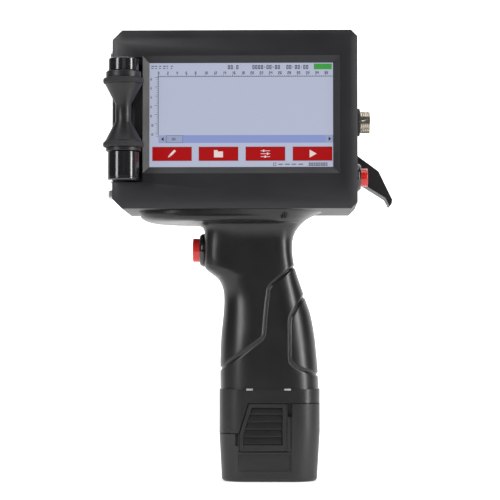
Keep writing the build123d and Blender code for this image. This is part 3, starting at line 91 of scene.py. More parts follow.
def material(name, tones, rough, grain, metallic=0.0, coat=0.0, glow=0.0):
    """Procedural material between two tones and two roughnesses, with (scale, depth) grain."""
    made = bpy.data.materials.new(name)
    made.use_nodes = True
    nodes, links = made.node_tree.nodes, made.node_tree.links
    shader = nodes["Principled BSDF"]
    vary = nodes.new("ShaderNodeGroup")
    vary.node_tree = SURFACE
    vary.inputs["Grain scale"].default_value = grain[0]
    vary.inputs["Grain depth"].default_value = grain[1]
    vary.inputs["Patch scale"].default_value = PATCH_SCALE
    tint = nodes.new("ShaderNodeMix")
    tint.data_type = "RGBA"
    tint.inputs["A"].default_value = (*tones[0], 1.0)
    tint.inputs["B"].default_value = (*tones[1], 1.0)
    sheen = nodes.new("ShaderNodeMapRange")
    sheen.inputs["From Min"].default_value = PATCH_SPAN[0]
    sheen.inputs["From Max"].default_value = PATCH_SPAN[1]
    sheen.inputs["To Min"].default_value = rough[0]
    sheen.inputs["To Max"].default_value = rough[1]
    links.new(vary.outputs["Patches"], tint.inputs["Factor"])
    links.new(vary.outputs["Patches"], sheen.inputs["Value"])
    links.new(tint.outputs["Result"], shader.inputs["Base Color"])
    links.new(sheen.outputs["Result"], shader.inputs["Roughness"])
    links.new(vary.outputs["Normal"], shader.inputs["Normal"])
    shader.inputs["Metallic"].default_value = metallic
    shader.inputs["Coat Weight"].default_value = coat
    shader.inputs["Coat Roughness"].default_value = COAT_ROUGHNESS
    if glow:
        links.new(tint.outputs["Result"], shader.inputs["Emission Color"])
        shader.inputs["Emission Strength"].default_value = glow
    return made


PANEL_UNLIT = 0.12
DOT_SCALE = 1400.0


def lit_panel(name, tones, glow):
    """Dark display surface lit from behind, with its fine dot grid."""
    dark = [tuple(PANEL_UNLIT * part for part in tone) for tone in tones]
    made = material(name, dark, (0.45, 0.55), (900.0, 0.000001))
    nodes, links = made.node_tree.nodes, made.node_tree.links
    shader = nodes["Principled BSDF"]
    shader.inputs["Specular IOR Level"].default_value = 0.15
    where = nodes.new("ShaderNodeTexCoord")
    dots = nodes.new("ShaderNodeTexChecker")
    dots.inputs["Scale"].default_value = DOT_SCALE
    dots.inputs["Color1"].default_value = (*tones[0], 1.0)
    dots.inputs["Color2"].default_value = (*tones[1], 1.0)
    links.new(where.outputs["Object"], dots.inputs["Vector"])
    links.new(dots.outputs["Color"], shader.inputs["Emission Color"])
    shader.inputs["Emission Strength"].default_value = glow
    return made


LOOKS = {
    "head_plastic": material(
        "head shell plastic", ((0.0045, 0.0047, 0.0062), (0.008, 0.0083, 0.0105)),
        rough=(0.42, 0.52), grain=(2600, 0.000012),
    ),
    "grip_plastic": material(
        "grip plastic", ((0.006, 0.0058, 0.006), (0.010, 0.0097, 0.010)),
        rough=(0.26, 0.34), grain=(2400, 0.000010),
    ),
    "pack_plastic": material(
        "battery plastic", ((0.006, 0.006, 0.0066), (0.010, 0.010, 0.011)),
        rough=(0.36, 0.46), grain=(2400, 0.000014),
    ),
    "gloss_black": material(
        "glossy black plastic", ((0.006, 0.006, 0.007), (0.011, 0.011, 0.013)),
        rough=(0.12, 0.20), grain=(1500, 0.000003), coat=0.5,
    ),
    "hub_plastic": material(
        "turned acetal", ((0.006, 0.006, 0.0075), (0.010, 0.010, 0.012)),
        rough=(0.34, 0.44), grain=(1800, 0.000008),
    ),
    "black_rubber": material(
        "black rubber", ((0.010, 0.010, 0.011), (0.020, 0.020, 0.021)),
        rough=(0.62, 0.78), grain=(3200, 0.00003),
    ),
    "red_plastic": material(
        "red button plastic", ((0.62, 0.012, 0.010), (0.78, 0.022, 0.014)),
        rough=(0.18, 0.28), grain=(1400, 0.000004), coat=0.4,
    ),
    "stainless": material(
        "brushed stainless", ((0.48, 0.48, 0.48), (0.64, 0.63, 0.62)),
        rough=(0.24, 0.38), grain=(3800, 0.000010), metallic=1.0,
    ),
    "bright_steel": material(
        "zinc plated steel", ((0.50, 0.50, 0.50), (0.66, 0.66, 0.64)),
        rough=(0.22, 0.34), grain=(2600, 0.000006), metallic=1.0,
    ),
    "nickel": material(
        "satin nickel", ((0.58, 0.54, 0.48), (0.74, 0.70, 0.63)),
        rough=(0.18, 0.30), grain=(2200, 0.000005), metallic=1.0,
    ),
    "brass": material(
        "brass", ((0.68, 0.46, 0.18), (0.80, 0.58, 0.26)),
        rough=(0.24, 0.36), grain=(2200, 0.000006), metallic=1.0,
    ),
    "gold_contact": material(
        "gold plating", ((0.80, 0.56, 0.20), (0.92, 0.68, 0.30)),
        rough=(0.16, 0.26), grain=(2200, 0.000003), metallic=1.0,
    ),
    "board_green": material(
        "circuit board", ((0.006, 0.060, 0.020), (0.010, 0.090, 0.034)),
        rough=(0.26, 0.36), grain=(1800, 0.00001), coat=0.3,
    ),
    "chip_black": material(
        "chip moulding", ((0.010, 0.010, 0.011), (0.018, 0.018, 0.019)),
        rough=(0.45, 0.60), grain=(3600, 0.00001),
    ),
    "screen_glass": material(
        "display border", ((0.006, 0.006, 0.008), (0.009, 0.009, 0.012)),
        rough=(0.10, 0.16), grain=(700, 0.000001), coat=0.8,
    ),
    "lcd_grey": material(
        "display module", ((0.16, 0.17, 0.18), (0.22, 0.23, 0.24)),
        rough=(0.35, 0.5), grain=(1800, 0.00001),
    ),
    "foam": material(
        "foam gasket", ((0.012, 0.012, 0.012), (0.022, 0.022, 0.022)),
        rough=(0.85, 0.95), grain=(4200, 0.00008),
    ),
    "sponge": material(
        "ink sponge", ((0.010, 0.010, 0.016), (0.020, 0.020, 0.032)),
        rough=(0.85, 0.95), grain=(2600, 0.0002),
    ),
    "cell_wrap": material(
        "cell wrap", ((0.020, 0.080, 0.22), (0.030, 0.110, 0.30)),
        rough=(0.22, 0.32), grain=(1200, 0.000006), coat=0.3,
    ),
    "wire_skin": material(
        "wire insulation", ((0.30, 0.012, 0.010), (0.38, 0.020, 0.016)),
        rough=(0.45, 0.55), grain=(2000, 0.00001),
    ),
}
SCREEN_PALE = lit_panel("lit work area", ((0.44, 0.475, 0.60), (0.38, 0.41, 0.53)), 0.95)
SCREEN_BLUE = lit_panel("lit scroll track", ((0.24, 0.29, 0.56), (0.21, 0.26, 0.50)), 0.95)
SCREEN_THUMB = lit_panel("lit scroll thumb", ((0.29, 0.33, 0.49), (0.26, 0.30, 0.45)), 0.95)
SCREEN_RED = lit_panel("lit red key", ((0.38, 0.002, 0.003), (0.33, 0.002, 0.003)), 0.95)
SCREEN_GREEN = lit_panel("lit charge bar", ((0.05, 0.34, 0.06), (0.04, 0.26, 0.05)), 0.95)
SCREEN_WHITE = lit_panel("lit key symbol", ((0.72, 0.62, 0.62), (0.66, 0.56, 0.56)), 0.95)
SCREEN_INK = lit_panel("dark display mark", ((0.03, 0.035, 0.07), (0.02, 0.025, 0.05)), 0.6)
BLACK_STEEL = material(
    "blackened steel", ((0.015, 0.015, 0.016), (0.03, 0.03, 0.032)),
    rough=(0.35, 0.5), grain=(2600, 0.000008), metallic=0.6,
)
# Pale grey painted highlight for the small bars on the collar step, standing in for the highlights there
PAINTED_HIGHLIGHT = material(
    "painted highlight grey", ((0.30, 0.30, 0.31), (0.38, 0.38, 0.39)),
    rough=(0.25, 0.35), grain=(2200, 0.000006),
)


# ---------------------------------------------------------------- mesh helpers

def add_piece(name, mesh, body, look):
    """Links a mesh as a piece of one body, with one look."""
    mesh.materials.clear()
    mesh.materials.append(look)
    piece = bpy.data.objects.new(name.replace(" ", "_"), mesh)
    bpy.context.scene.collection.objects.link(piece)
    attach(piece, body)
    return piece


def shade(mesh, angle=35.0):
    """Smooth faces, with creases sharper than the angle kept."""
    mesh.polygons.foreach_set("use_smooth", [True] * len(mesh.polygons))
    mesh.set_sharp_from_angle(angle=math.radians(angle))
    mesh.update()


EDGE_ANGLE = 32.0


def soften(piece, width, segments=2):
    """Rounds the piece's edges with a real bevel."""
    bevel = piece.modifiers.new("edge rounding", "BEVEL")
    bevel.width = width * MM
    bevel.segments = segments
    bevel.limit_method = "ANGLE"
    bevel.angle_limit = math.radians(EDGE_ANGLE)
    bevel.use_clamp_overlap = True
    bevel.harden_normals = True
    bevel.miter_outer = "MITER_ARC"


WELD = 0.002
FLAT_ANGLE = 0.8


def cad_copy(node, keep=()):
    """Clean mesh of a CAD node; keep is ((x, y, z), normal) planes whose far side is cut off."""
    source = bmesh.new()
    source.from_mesh(frame["nodes"][node].data)
    bmesh.ops.remove_doubles(source, verts=source.verts, dist=WELD * MM)
    for place, normal in keep:
        everything = source.verts[:] + source.edges[:] + source.faces[:]
        bmesh.ops.bisect_plane(source, geom=everything, plane_co=place, plane_no=normal, clear_outer=True)
        rim = [edge for edge in source.edges if edge.is_boundary]
        bmesh.ops.triangle_fill(source, edges=rim, use_beauty=True)
    flat = math.radians(FLAT_ANGLE)
    bmesh.ops.dissolve_limit(source, angle_limit=flat, verts=source.verts, edges=source.edges)
    bmesh.ops.recalc_face_normals(source, faces=source.faces)
    mesh = bpy.data.meshes.new(node + " finished")
    source.to_mesh(mesh)
    source.free()
    if "custom_normal" in mesh.attributes:
        mesh.attributes.remove(mesh.attributes["custom_normal"])
    return mesh


def finished(node, width, segments=2):
    """Replaces a CAD node by its own shape with moulded or turned edges."""
    mesh = cad_copy(node)
    shade(mesh, EDGE_ANGLE)
    piece = add_piece(node + " finished", mesh, BODY_OF[node], LOOKS[SLOT_OF[node]])
    soften(piece, width, segments)
    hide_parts(node)


def rounded_profile(points, radius, steps):
    """Rounds the inner corners of an open (radius, along) profile."""
    result = [points[0]]
    for before, corner, after in zip(points, points[1:], points[2:]):
        here = Vector(corner)
        back = Vector(before) - here
        ahead = Vector(after) - here
        reach = min(radius, back.length * 0.45, ahead.length * 0.45)
        start = here + back.normalized() * reach
        end = here + ahead.normalized() * reach
        for step in range(steps + 1):
            share = step / steps
            curve = start * (1 - share) ** 2 + here * 2 * share * (1 - share) + end * share ** 2
            result.append((curve.x, curve.y))
    result.append(points[-1])
    return result


AXES = {
    "+x": Matrix(((0, 0, 1), (1, 0, 0), (0, 1, 0))),
    "-x": Matrix(((0, 0, -1), (-1, 0, 0), (0, 1, 0))),
    "+z": Matrix(((1, 0, 0), (0, 1, 0), (0, 0, 1))),
}


ON_AXIS = 0.0005


def lathe(name, profile, origin, axis, turns, wave=None):
    """Turned mesh from a (radius, along) profile in mm; wave(angle, radius, along) adds to the radius."""
    maker = bmesh.new()
    rings = []
    for radius, along in profile:
        if radius < ON_AXIS:
            rings.append([maker.verts.new((0, 0, along))])
            continue
        ring = []
        for step in range(turns):
            angle = 2 * math.pi * step / turns
            reach = radius + (wave(angle, radius, along) if wave else 0.0)
            ring.append(maker.verts.new((reach * math.cos(angle), reach * math.sin(angle), along)))
        rings.append(ring)
    for lower, upper in zip(rings, rings[1:]):
        for step in range(turns):
            after = (step + 1) % turns
            if len(lower) == 1 and len(upper) == 1:
                continue
            if len(lower) == 1:
                corners = (lower[0], upper[after], upper[step])
            elif len(upper) == 1:
                corners = (lower[step], lower[after], upper[0])
            else:
                corners = (lower[step], lower[after], upper[after], upper[step])
            maker.faces.new(corners)
    bmesh.ops.recalc_face_normals(maker, faces=maker.faces)
    maker.transform(Matrix.Translation(origin) @ AXES[axis].to_4x4() @ Matrix.Scale(MM, 4))
    mesh = bpy.data.meshes.new(name)
    maker.to_mesh(mesh)
    maker.free()
    shade(mesh, 40)
    return mesh


def centre(node):
    """Middle of a CAD node's box."""
    low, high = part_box(node)
    return (low + high) / 2


# ---------------------------------------------------------------- display

WINDOW_LEFT = -61.1
WINDOW_TOP = 214.6
WINDOW_WIDE = 94.0
WINDOW_TALL = 53.5
FILM = 0.02
DISPLAY_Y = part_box("touch_panel")[0].y / MM


class Layer:
    """Flat marks of one display colour, each a thin plate in front of the touch panel."""

    def __init__(self, name, look, level):
        self.name = name
        self.look = look
        self.front = DISPLAY_Y - FILM * level
        self.maker = bmesh.new()

    def plate(self, points):
        """Polygon from (right, down) points in mm, measured from the window's top left corner."""
        corners = []
        for right, down in points:
            place = Vector((WINDOW_LEFT + right, self.front, WINDOW_TOP - down))
            corners.append(self.maker.verts.new(place * MM))
        face = self.maker.faces.new(corners)
        thick = bmesh.ops.extrude_face_region(self.maker, geom=[face])
        moved = [item for item in thick["geom"] if isinstance(item, bmesh.types.BMVert)]
        bmesh.ops.translate(self.maker, verts=moved, vec=(0, FILM * 0.9 * MM, 0))

    def bar(self, left, top, width, height):
        """Plain rectangle."""
        right, low = left + width, top + height
        self.plate(((left, top), (right, top), (right, low), (left, low)))

    def frame(self, left, top, width, height, line):
        """Outline of a rectangle."""
        self.bar(left, top, width, line)
        self.bar(left, top + height - line, width, line)
        self.bar(left, top + line, line, height - 2 * line)
        self.bar(left + width - line, top + line, line, height - 2 * line)

    def digit(self, value, left, top, height):
        """One seven-segment figure."""
        line = height * 0.17
        wide = height * 0.52
        half = height / 2
        bars = {
            "a": (0, 0, wide, line), "g": (0, half - line / 2, wide, line),
            "d": (0, height - line, wide, line),
            "f": (0, 0, line, half), "b": (wide - line, 0, line, half),
            "e": (0, half, line, half), "c": (wide - line, half, line, half),
        }
        lit = ("abcdef", "bc", "abged", "abgcd", "fgbc", "afgcd", "afgedc", "abc", "abcdefg", "abcfgd")[value]
        for key in lit:
            x, y, width, tall = bars[key]
            self.bar(left + x, top + y, width, tall)

    def number(self, text, left, top, height):
        """Row of figures; a stop, a colon and a dash have their own marks."""
        step = height * 0.72
        dot = height * 0.14
        for index, sign in enumerate(text):
            x = left + index * step
            if sign.isdigit():
                self.digit(int(sign), x, top, height)
            elif sign == ".":
                self.bar(x + dot, top + height - dot, dot, dot)
            elif sign == ":":
                self.bar(x + dot, top + height * 0.25, dot, dot)
                self.bar(x + dot, top + height * 0.65, dot, dot)
            elif sign == "-":
                self.bar(x, top + height * 0.45, height * 0.45, dot)

    def done(self):
        """Writes the layer as one piece on the housing."""
        bmesh.ops.recalc_face_normals(self.maker, faces=self.maker.faces)
        mesh = bpy.data.meshes.new(self.name)
        self.maker.to_mesh(mesh)
        self.maker.free()
        add_piece(self.name, mesh, "housing", self.look)


RULER_LEFT = 4.6
RULER_TOP = 7.0
RULER_PAIR = 4.74
RULER_TICKS = 5
TOP_PAIRS = 19
LEFT_PAIRS = 7
TICK = 0.2
WORK_BOTTOM = 37.1
TRACK_TALL = 4.0
KEY_LEFTS = (1.6, 25.4, 49.4, 73.5)
KEY_WIDE = 20.0
KEY_TOP = 43.2
KEY_TALL = 7.0
STATUS_TOP = 1.2
STATUS_TALL = 2.0
STATUS_MARKS = (1.6, 1.1, 1.1, 1.6, 0.7, 1.1)
STATUS_FIGURES = (("00.0", 40.2), ("0000-00-00", 52.8), ("00:00:00", 70.2))
SCROLL_THUMBS = ((RULER_LEFT + 0.1, 3.5), (RULER_LEFT + 4.1, 8.4), (WINDOW_WIDE - 3.8, 3.5))


def rulers(ink):
    """Scale along the top and the left of the work area."""
    gap = RULER_PAIR / RULER_TICKS
    ink.bar(RULER_LEFT - 0.9, RULER_TOP - 0.1, WINDOW_WIDE - RULER_LEFT + 0.9, TICK)
    ink.bar(RULER_LEFT - 0.1, RULER_TOP - 0.6, TICK, WORK_BOTTOM - RULER_TOP + 0.6)
    for index in range(TOP_PAIRS * RULER_TICKS):
        x = RULER_LEFT + index * gap
        tall = 1.0 if index % RULER_TICKS == 0 else 0.55
        if x < WINDOW_WIDE - 0.3:
            ink.bar(x, RULER_TOP - tall, TICK, tall)
    for index in range(LEFT_PAIRS * RULER_TICKS):
        y = RULER_TOP + 0.4 + index * gap
        wide = 1.7 if index % RULER_TICKS == 0 else 0.8
        if y < WORK_BOTTOM + 1.2:
            ink.bar(RULER_LEFT - 0.1 - wide, y, wide, TICK)
    for index in range(TOP_PAIRS):
        ink.number(str(2 * index), RULER_LEFT - 0.3 + index * RULER_PAIR, 4.4, 1.45)
    for index in range(LEFT_PAIRS):
        ink.number(str(2 * index), 0.5, RULER_TOP + 0.7 + index * RULER_PAIR, 1.2)


def status_row(ink, green):
    """Figures along the top edge and the charge bar."""
    for index, wide in enumerate(STATUS_MARKS):
        ink.bar(0.9 + index * 2.0, 1.4, wide, 0.4)
        ink.bar(0.9 + index * 2.0, 2.5, wide * 0.7, 0.4)
    for text, left in STATUS_FIGURES:
        ink.number(text, left, STATUS_TOP, STATUS_TALL)
    green.bar(84.2, 0.5, 9.2, 2.9)


def scroll_bar(blue, thumb, ink):
    """Track with an arrow at each end and the thumb."""
    blue.bar(RULER_LEFT, WORK_BOTTOM, WINDOW_WIDE - RULER_LEFT, TRACK_TALL)
    middle = WORK_BOTTOM + TRACK_TALL / 2
    for left, wide in SCROLL_THUMBS:
        thumb.bar(left, WORK_BOTTOM + 0.15, wide, TRACK_TALL - 0.3)
    ink.plate(((6.0, middle), (7.3, middle - 1.1), (7.3, middle + 1.1)))
    ink.plate(((93.0, middle), (91.7, middle + 1.1), (91.7, middle - 1.1)))
    for index in range(4):
        ink.bar(11.6 + index * 0.5, middle - 0.7, 0.22, 1.4)
    ink.frame(RULER_LEFT + 4.1, WORK_BOTTOM + 0.1, 8.4, TRACK_TALL - 0.2, 0.12)


def key_symbols(white):
    """Plain symbols in place of words: a pen, a folder, three sliders and a start arrow."""
    pen, folder, sliders, arrow = (left + KEY_WIDE / 2 for left in KEY_LEFTS)
    middle = KEY_TOP + KEY_TALL / 2
    white.plate(((pen - 2.0, middle + 1.8), (pen - 1.6, middle + 0.6), (pen - 0.8, middle + 1.4)))
    shaft_end = ((pen + 1.2, middle - 2.2), (pen + 2.0, middle - 1.4))
    white.plate(((pen - 1.4, middle + 0.4), *shaft_end, (pen - 0.6, middle + 1.2)))
    white.bar(folder - 2.3, middle - 1.2, 4.6, 3.0)
    white.bar(folder - 2.3, middle - 1.9, 1.9, 0.8)
    for index, knob in enumerate((-0.9, 1.1, -0.1)):
        y = middle - 1.5 + index * 1.5
        white.bar(sliders - 2.4, y - 0.14, 4.8, 0.28)
        white.bar(sliders + knob - 0.4, y - 0.55, 0.8, 1.1)
    white.plate(((arrow - 1.5, middle - 2.0), (arrow + 2.1, middle), (arrow - 1.5, middle + 2.0)))


def display():
    """Everything that the lit screen shows, in thin layers."""
    pale = Layer("display background", SCREEN_PALE, 1)
    blue = Layer("scroll track", SCREEN_BLUE, 2)
    thumb = Layer("scroll keys", SCREEN_THUMB, 3)
    red = Layer("red keys", SCREEN_RED, 2)
    green = Layer("charge bar", SCREEN_GREEN, 2)
    white = Layer("key symbols", SCREEN_WHITE, 3)
    ink = Layer("display figures", SCREEN_INK, 4)
    pale.bar(0.0, 0.0, WINDOW_WIDE, WINDOW_TALL)
    rulers(ink)
    status_row(ink, green)
    scroll_bar(blue, thumb, ink)
    for left in KEY_LEFTS:
        red.bar(left, KEY_TOP, KEY_WIDE, KEY_TALL)
        ink.frame(left - 0.12, KEY_TOP - 0.12, KEY_WIDE + 0.24, KEY_TALL + 0.24, 0.12)
    key_symbols(white)
    ink.number("00000000", 81.6, 51.3, 1.7)
    ink.frame(63.4, 51.4, 1.5, 1.5, 0.2)
    for index in range(4):
        ink.bar(66.0 + index * 3.4, 51.9, 2.4, 0.4)
    for layer in (pale, blue, thumb, red, green, white, ink):
        layer.done()


# ---------------------------------------------------------------- grip

# Stations up the grip in mm: height, left edge, right edge, half depth and squareness of the
# section, where 2 is an ellipse and more is nearer to a box
GRIP_STATIONS = (
    (46.2, -25.7, 25.5, 22.1, 3.1), (56.0, -25.8, 25.2, 22.0, 3.0), (66.0, -25.7, 24.4, 21.8, 2.9),
    (76.0, -25.2, 23.3, 21.2, 2.8), (86.0, -24.2, 21.4, 19.6, 2.8), (94.0, -23.8, 18.7, 18.4, 2.8),
    (100.0, -24.5, 16.7, 17.9, 3.0), (104.5, -26.8, 15.1, 17.6, 3.3), (107.6, -30.6, 14.1, 17.6, 3.7),
    (110.2, -33.5, 13.3, 17.6, 4.2), (114.0, -34.0, 12.5, 17.6, 4.5), (119.5, -34.0, 11.9, 17.6, 4.5),
    (125.0, -34.0, 12.1, 17.8, 4.2), (128.8, -34.0, 13.2, 18.4, 3.8), (131.0, -34.7, 14.5, 19.2, 3.4),
    (132.6, -36.8, 15.7, 20.2, 3.1), (133.4, -41.0, 16.4, 22.0, 2.9), (133.65, -48.0, 16.7, 24.0, 2.8),
    (133.8, -56.0, 16.9, 26.2, 2.7), (134.3, -62.0, 17.4, 27.9, 2.6), (135.6, -65.8, 18.9, 29.2, 2.6),
    (137.4, -67.7, 21.9, 29.5, 2.6), (139.7, -68.1, 27.2, 29.9, 2.6),
)
GRIP_ROWS = 320
GRIP_COLUMNS = 190
COLLAR_CUT = 47.55
SHADOW_GAP = 0.12
GROOVES = (
    ((14.5, 111.8), (12.0, 110.2), (-0.3, 100.3), (-1.8, 88.0), (-2.9, 74.0), (-13.2, 66.4), (-30.0, 55.2)),
    ((24.0, 104.0), (16.5, 93.2), (10.9, 84.3), (10.9, 61.6), (14.0, 58.8), (30.0, 53.2)),
)
GROOVE_DEPTH = 0.85
GROOVE_HALF = 1.0
CORNER_SHARE = 0.1
FINE_ROWS = 40
FINE_COLUMNS = 400
SHORTEST = 0.00001


def smooth_station(position):
    """All values of the grip part way along its stations, on one smooth curve."""
    last = len(GRIP_STATIONS) - 1
    index = min(int(position), last - 1)
    share = position - index
    before = GRIP_STATIONS[max(index - 1, 0)]
    start = GRIP_STATIONS[index]
    end = GRIP_STATIONS[index + 1]
    after = GRIP_STATIONS[min(index + 2, last)]
    square, cube = share ** 2, share ** 3
    values = []
    for first, low, high, final in zip(before, start, end, after):
        slope_in, slope_out = (high - first) / 2, (final - low) / 2
        value = low * (2 * cube - 3 * square + 1) + slope_in * (cube - 2 * square + share)
        values.append(value + high * (3 * square - 2 * cube) + slope_out * (cube - square))
    return values


def running_lengths(points):
    """Distance along a line at each of its points."""
    lengths = [0.0]
    for start, end in zip(points, points[1:]):
        lengths.append(lengths[-1] + math.dist(start, end))
    return lengths


def even_places(lengths, count):
    """Segment and share of it for places evenly spaced along a measured line."""
    index = 0
    for step in range(count + 1):
        goal = lengths[-1] * step / count
        while index < len(lengths) - 2 and lengths[index + 1] < goal:
            index += 1
        yield index, (goal - lengths[index]) / max(lengths[index + 1] - lengths[index], SHORTEST)


def grip_stations():
    """Stations for every row of the grip, evenly spaced along its surface."""
    steps = FINE_ROWS * (len(GRIP_STATIONS) - 1)
    fine = [smooth_station(step / FINE_ROWS) for step in range(steps + 1)]
    stations = []
    for index, share in even_places(running_lengths([station[:4] for station in fine]), GRIP_ROWS):
        stations.append([low + (high - low) * share for low, high in zip(fine[index], fine[index + 1])])
    return stations


def eased_path(points):
    """Cuts the corners of a line so that it runs round them."""
    eased = [points[0]]
    for start, end in zip(points, points[1:]):
        for share in (CORNER_SHARE, 1 - CORNER_SHARE):
            eased.append((start[0] + (end[0] - start[0]) * share, start[1] + (end[1] - start[1]) * share))
    eased.append(points[-1])
    return eased


def path_distance(path, x, z):
    """Distance in side view from a point to a line."""
    nearest = math.inf
    for (ax, az), (bx, bz) in zip(path, path[1:]):
        dx, dz = bx - ax, bz - az
        share = ((x - ax) * dx + (z - az) * dz) / (dx * dx + dz * dz)
        share = min(max(share, 0.0), 1.0)
        nearest = min(nearest, math.hypot(x - ax - share * dx, z - az - share * dz))
    return nearest


GROOVE_PATHS = [eased_path(line) for line in GROOVES]


def groove_cut(x, z):
    """Depth of the decorative grooves at a place in side view."""
    near = min(path_distance(path, x, z) for path in GROOVE_PATHS)
    if near >= GROOVE_HALF:
        return 0.0
    return GROOVE_DEPTH * (0.5 + 0.5 * math.cos(math.pi * near / GROOVE_HALF)) ** 0.7


def grip_section(station, side):
    """Half outline of the grip at one station, evenly spaced, from its right edge to its left."""
    height, left, right, half, squareness = station
    square = 2 / squareness
    wide = (right - left) / 2
    middle = (right + left) / 2
    fine = []
    for step in range(FINE_COLUMNS + 1):
        angle = math.pi * step / FINE_COLUMNS
        across = math.copysign(abs(math.cos(angle)) ** square, math.cos(angle))
        deep = half * math.sin(angle) ** square if 0 < step < FINE_COLUMNS else 0.0
        fine.append((middle + wide * across, deep))
    section = []
    for index, share in even_places(running_lengths(fine), GRIP_COLUMNS):
        (start_x, start_y), (end_x, end_y) = fine[index], fine[index + 1]
        x = start_x + (end_x - start_x) * share
        y = start_y + (end_y - start_y) * share
        normal = Vector((end_y - start_y, start_x - end_x)).normalized()
        cut = groove_cut(x, height)
        x -= normal.x * cut
        y -= normal.y * cut
        section.append(Vector((x, side * max(y, SHADOW_GAP), height)) * MM)
    return section


def grip_body(side, node):
    """Palm-shaped wall of one grip half, with its grooves."""
    maker = bmesh.new()
    rows = []
    for station in grip_stations():
        rows.append([maker.verts.new(place) for place in grip_section(station, side)])
    count = GRIP_COLUMNS + 1
    for lower, upper in zip(rows, rows[1:]):
        for column in range(count):
            after = (column + 1) % count
            maker.faces.new((lower[column], lower[after], upper[after], upper[column]))
    maker.faces.new(rows[0])
    maker.faces.new(rows[-1])
    bmesh.ops.recalc_face_normals(maker, faces=maker.faces)
    mesh = bpy.data.meshes.new(node + " palm")
    maker.to_mesh(mesh)
    maker.free()
    shade(mesh, 50)
    return add_piece(node + " palm", mesh, "housing", LOOKS["grip_plastic"])


def grip_collar(node):
    """Collar of one grip half: the CAD shape below a level cut."""
    mesh = cad_copy(node, keep=(((0, 0, COLLAR_CUT * MM), (0, 0, 1)),))
    shade(mesh, 30)
    collar = add_piece(node + " collar", mesh, "housing", LOOKS["grip_plastic"])
    soften(collar, 0.35)
    return collar


def grips():
    """Both grip halves: palm surface and collar."""
    for side, node in ((-1, "grip_near_half"), (1, "grip_far_half")):
        for piece in (grip_body(side, node), grip_collar(node)):
            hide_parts(node)


# ---------------------------------------------------------------- turned and moulded parts

THREAD_PITCH = 1.0
THREAD_DEPTH = 0.62
THREAD_STEPS = 66
COLLAR_LONG = 1.5
PLUG_R = 4.75
PLUG_DEEP = 5.6


def connector():
    """Threaded sleeve of the round connector and its gasket."""
    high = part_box("connector_shell")[1]
    middle = centre("connector_shell")
    face = high.x / MM
    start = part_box("front_cover")[1].x / MM
    thread = (high.y - middle.y) / MM
    first = start + COLLAR_LONG
    reach = face - 0.5 - first
    outside = [(thread, first + reach * step / THREAD_STEPS) for step in range(THREAD_STEPS + 1)]
    profile = [(0.0, start), (thread - 0.3, start), *outside, (thread - 0.75, face - 0.05), (PLUG_R, face)]
    profile += [(PLUG_R - 0.05, face - 0.1), (PLUG_R - 0.05, face - PLUG_DEEP), (0.0, face - PLUG_DEEP)]

    def threads(angle, radius, along):
        """Helical ridges on the outer wall only."""
        if radius < thread - 0.01:
            return 0.0
        phase = (along / THREAD_PITCH + angle / (2 * math.pi)) % 1.0
        return -THREAD_DEPTH * abs(2 * phase - 1)

    mesh = lathe("threaded sleeve", profile, Vector((0, middle.y, middle.z)), "+x", 128, threads)
    sleeve = add_piece("threaded sleeve", mesh, "housing", LOOKS["nickel"])
    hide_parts("connector_shell")
    finished("connector_gasket", 0.3)


BEZEL_HEIGHT = {"power_button_body": 2.1, "trigger_body": 2.5}
CAP_GAP = 0.25
BEZEL_TURNS = 120
DISH_STEPS = 8
DISH_DEEP = 0.32
DISH_RISE = 0.22


def push_button(body, cap, axis, direction):
    """Domed bezel and dished red cap of one push button."""
    low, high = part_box(body)
    middle = centre(body)
    origin = Vector((0, middle.y, middle.z))
    radius = (high.z - low.z) / 2 / MM
    rim = BEZEL_HEIGHT[body]
    cap_low, cap_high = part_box(cap)
    cap_radius = (cap_high.z - cap_low.z) / 2 / MM
    if direction > 0:
        face, front = high.x / MM - rim, cap_high.x / MM
    else:
        face, front = -(low.x / MM + rim), -cap_low.x / MM
    bore = cap_radius + CAP_GAP
    bezel = [(bore, face), (radius, face), (radius, face + rim * 0.45), (radius - 0.9, face + rim)]
    bezel += [(cap_radius + 0.75, face + rim), (bore, face + rim - 0.5), (bore, face)]
    ring = lathe(body + " bezel", rounded_profile(bezel, 0.8, 6), origin, axis, BEZEL_TURNS)
    add_piece(body + " bezel", ring, "housing", LOOKS["gloss_black"])
    dish = []
    for step in range(DISH_STEPS - 1):
        share = step / DISH_STEPS
        dish.append((cap_radius * share, front - DISH_DEEP + DISH_RISE * share ** 2))
    top = [(0.0, face - 1.0), (cap_radius, face - 1.0), (cap_radius, front - 0.15), (cap_radius - 0.7, front)]
    cap_mesh = lathe(cap + " face", rounded_profile(top + dish[::-1], 0.45, 5), origin, axis, BEZEL_TURNS)
    return add_piece(cap + " face", cap_mesh, BODY_OF[cap], LOOKS["red_plastic"])


def buttons():
    """Power button on the rear face and trigger on the grip."""
    power = push_button("power_button_body", "power_button_cap", "+x", 1)
    trigger = push_button("trigger_body", "trigger_cap", "-x", -1)
    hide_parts("power_button_cap")
    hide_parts("trigger_cap")


TREAD_TALL = 3.0
TREAD_DEEP = 2.6
TREAD_STEPS = 40
TREAD_SQUARENESS = 0.7


def squared(turn):
    """A sine or cosine swollen towards a square."""
    return math.copysign(abs(turn) ** TREAD_SQUARENESS, turn)


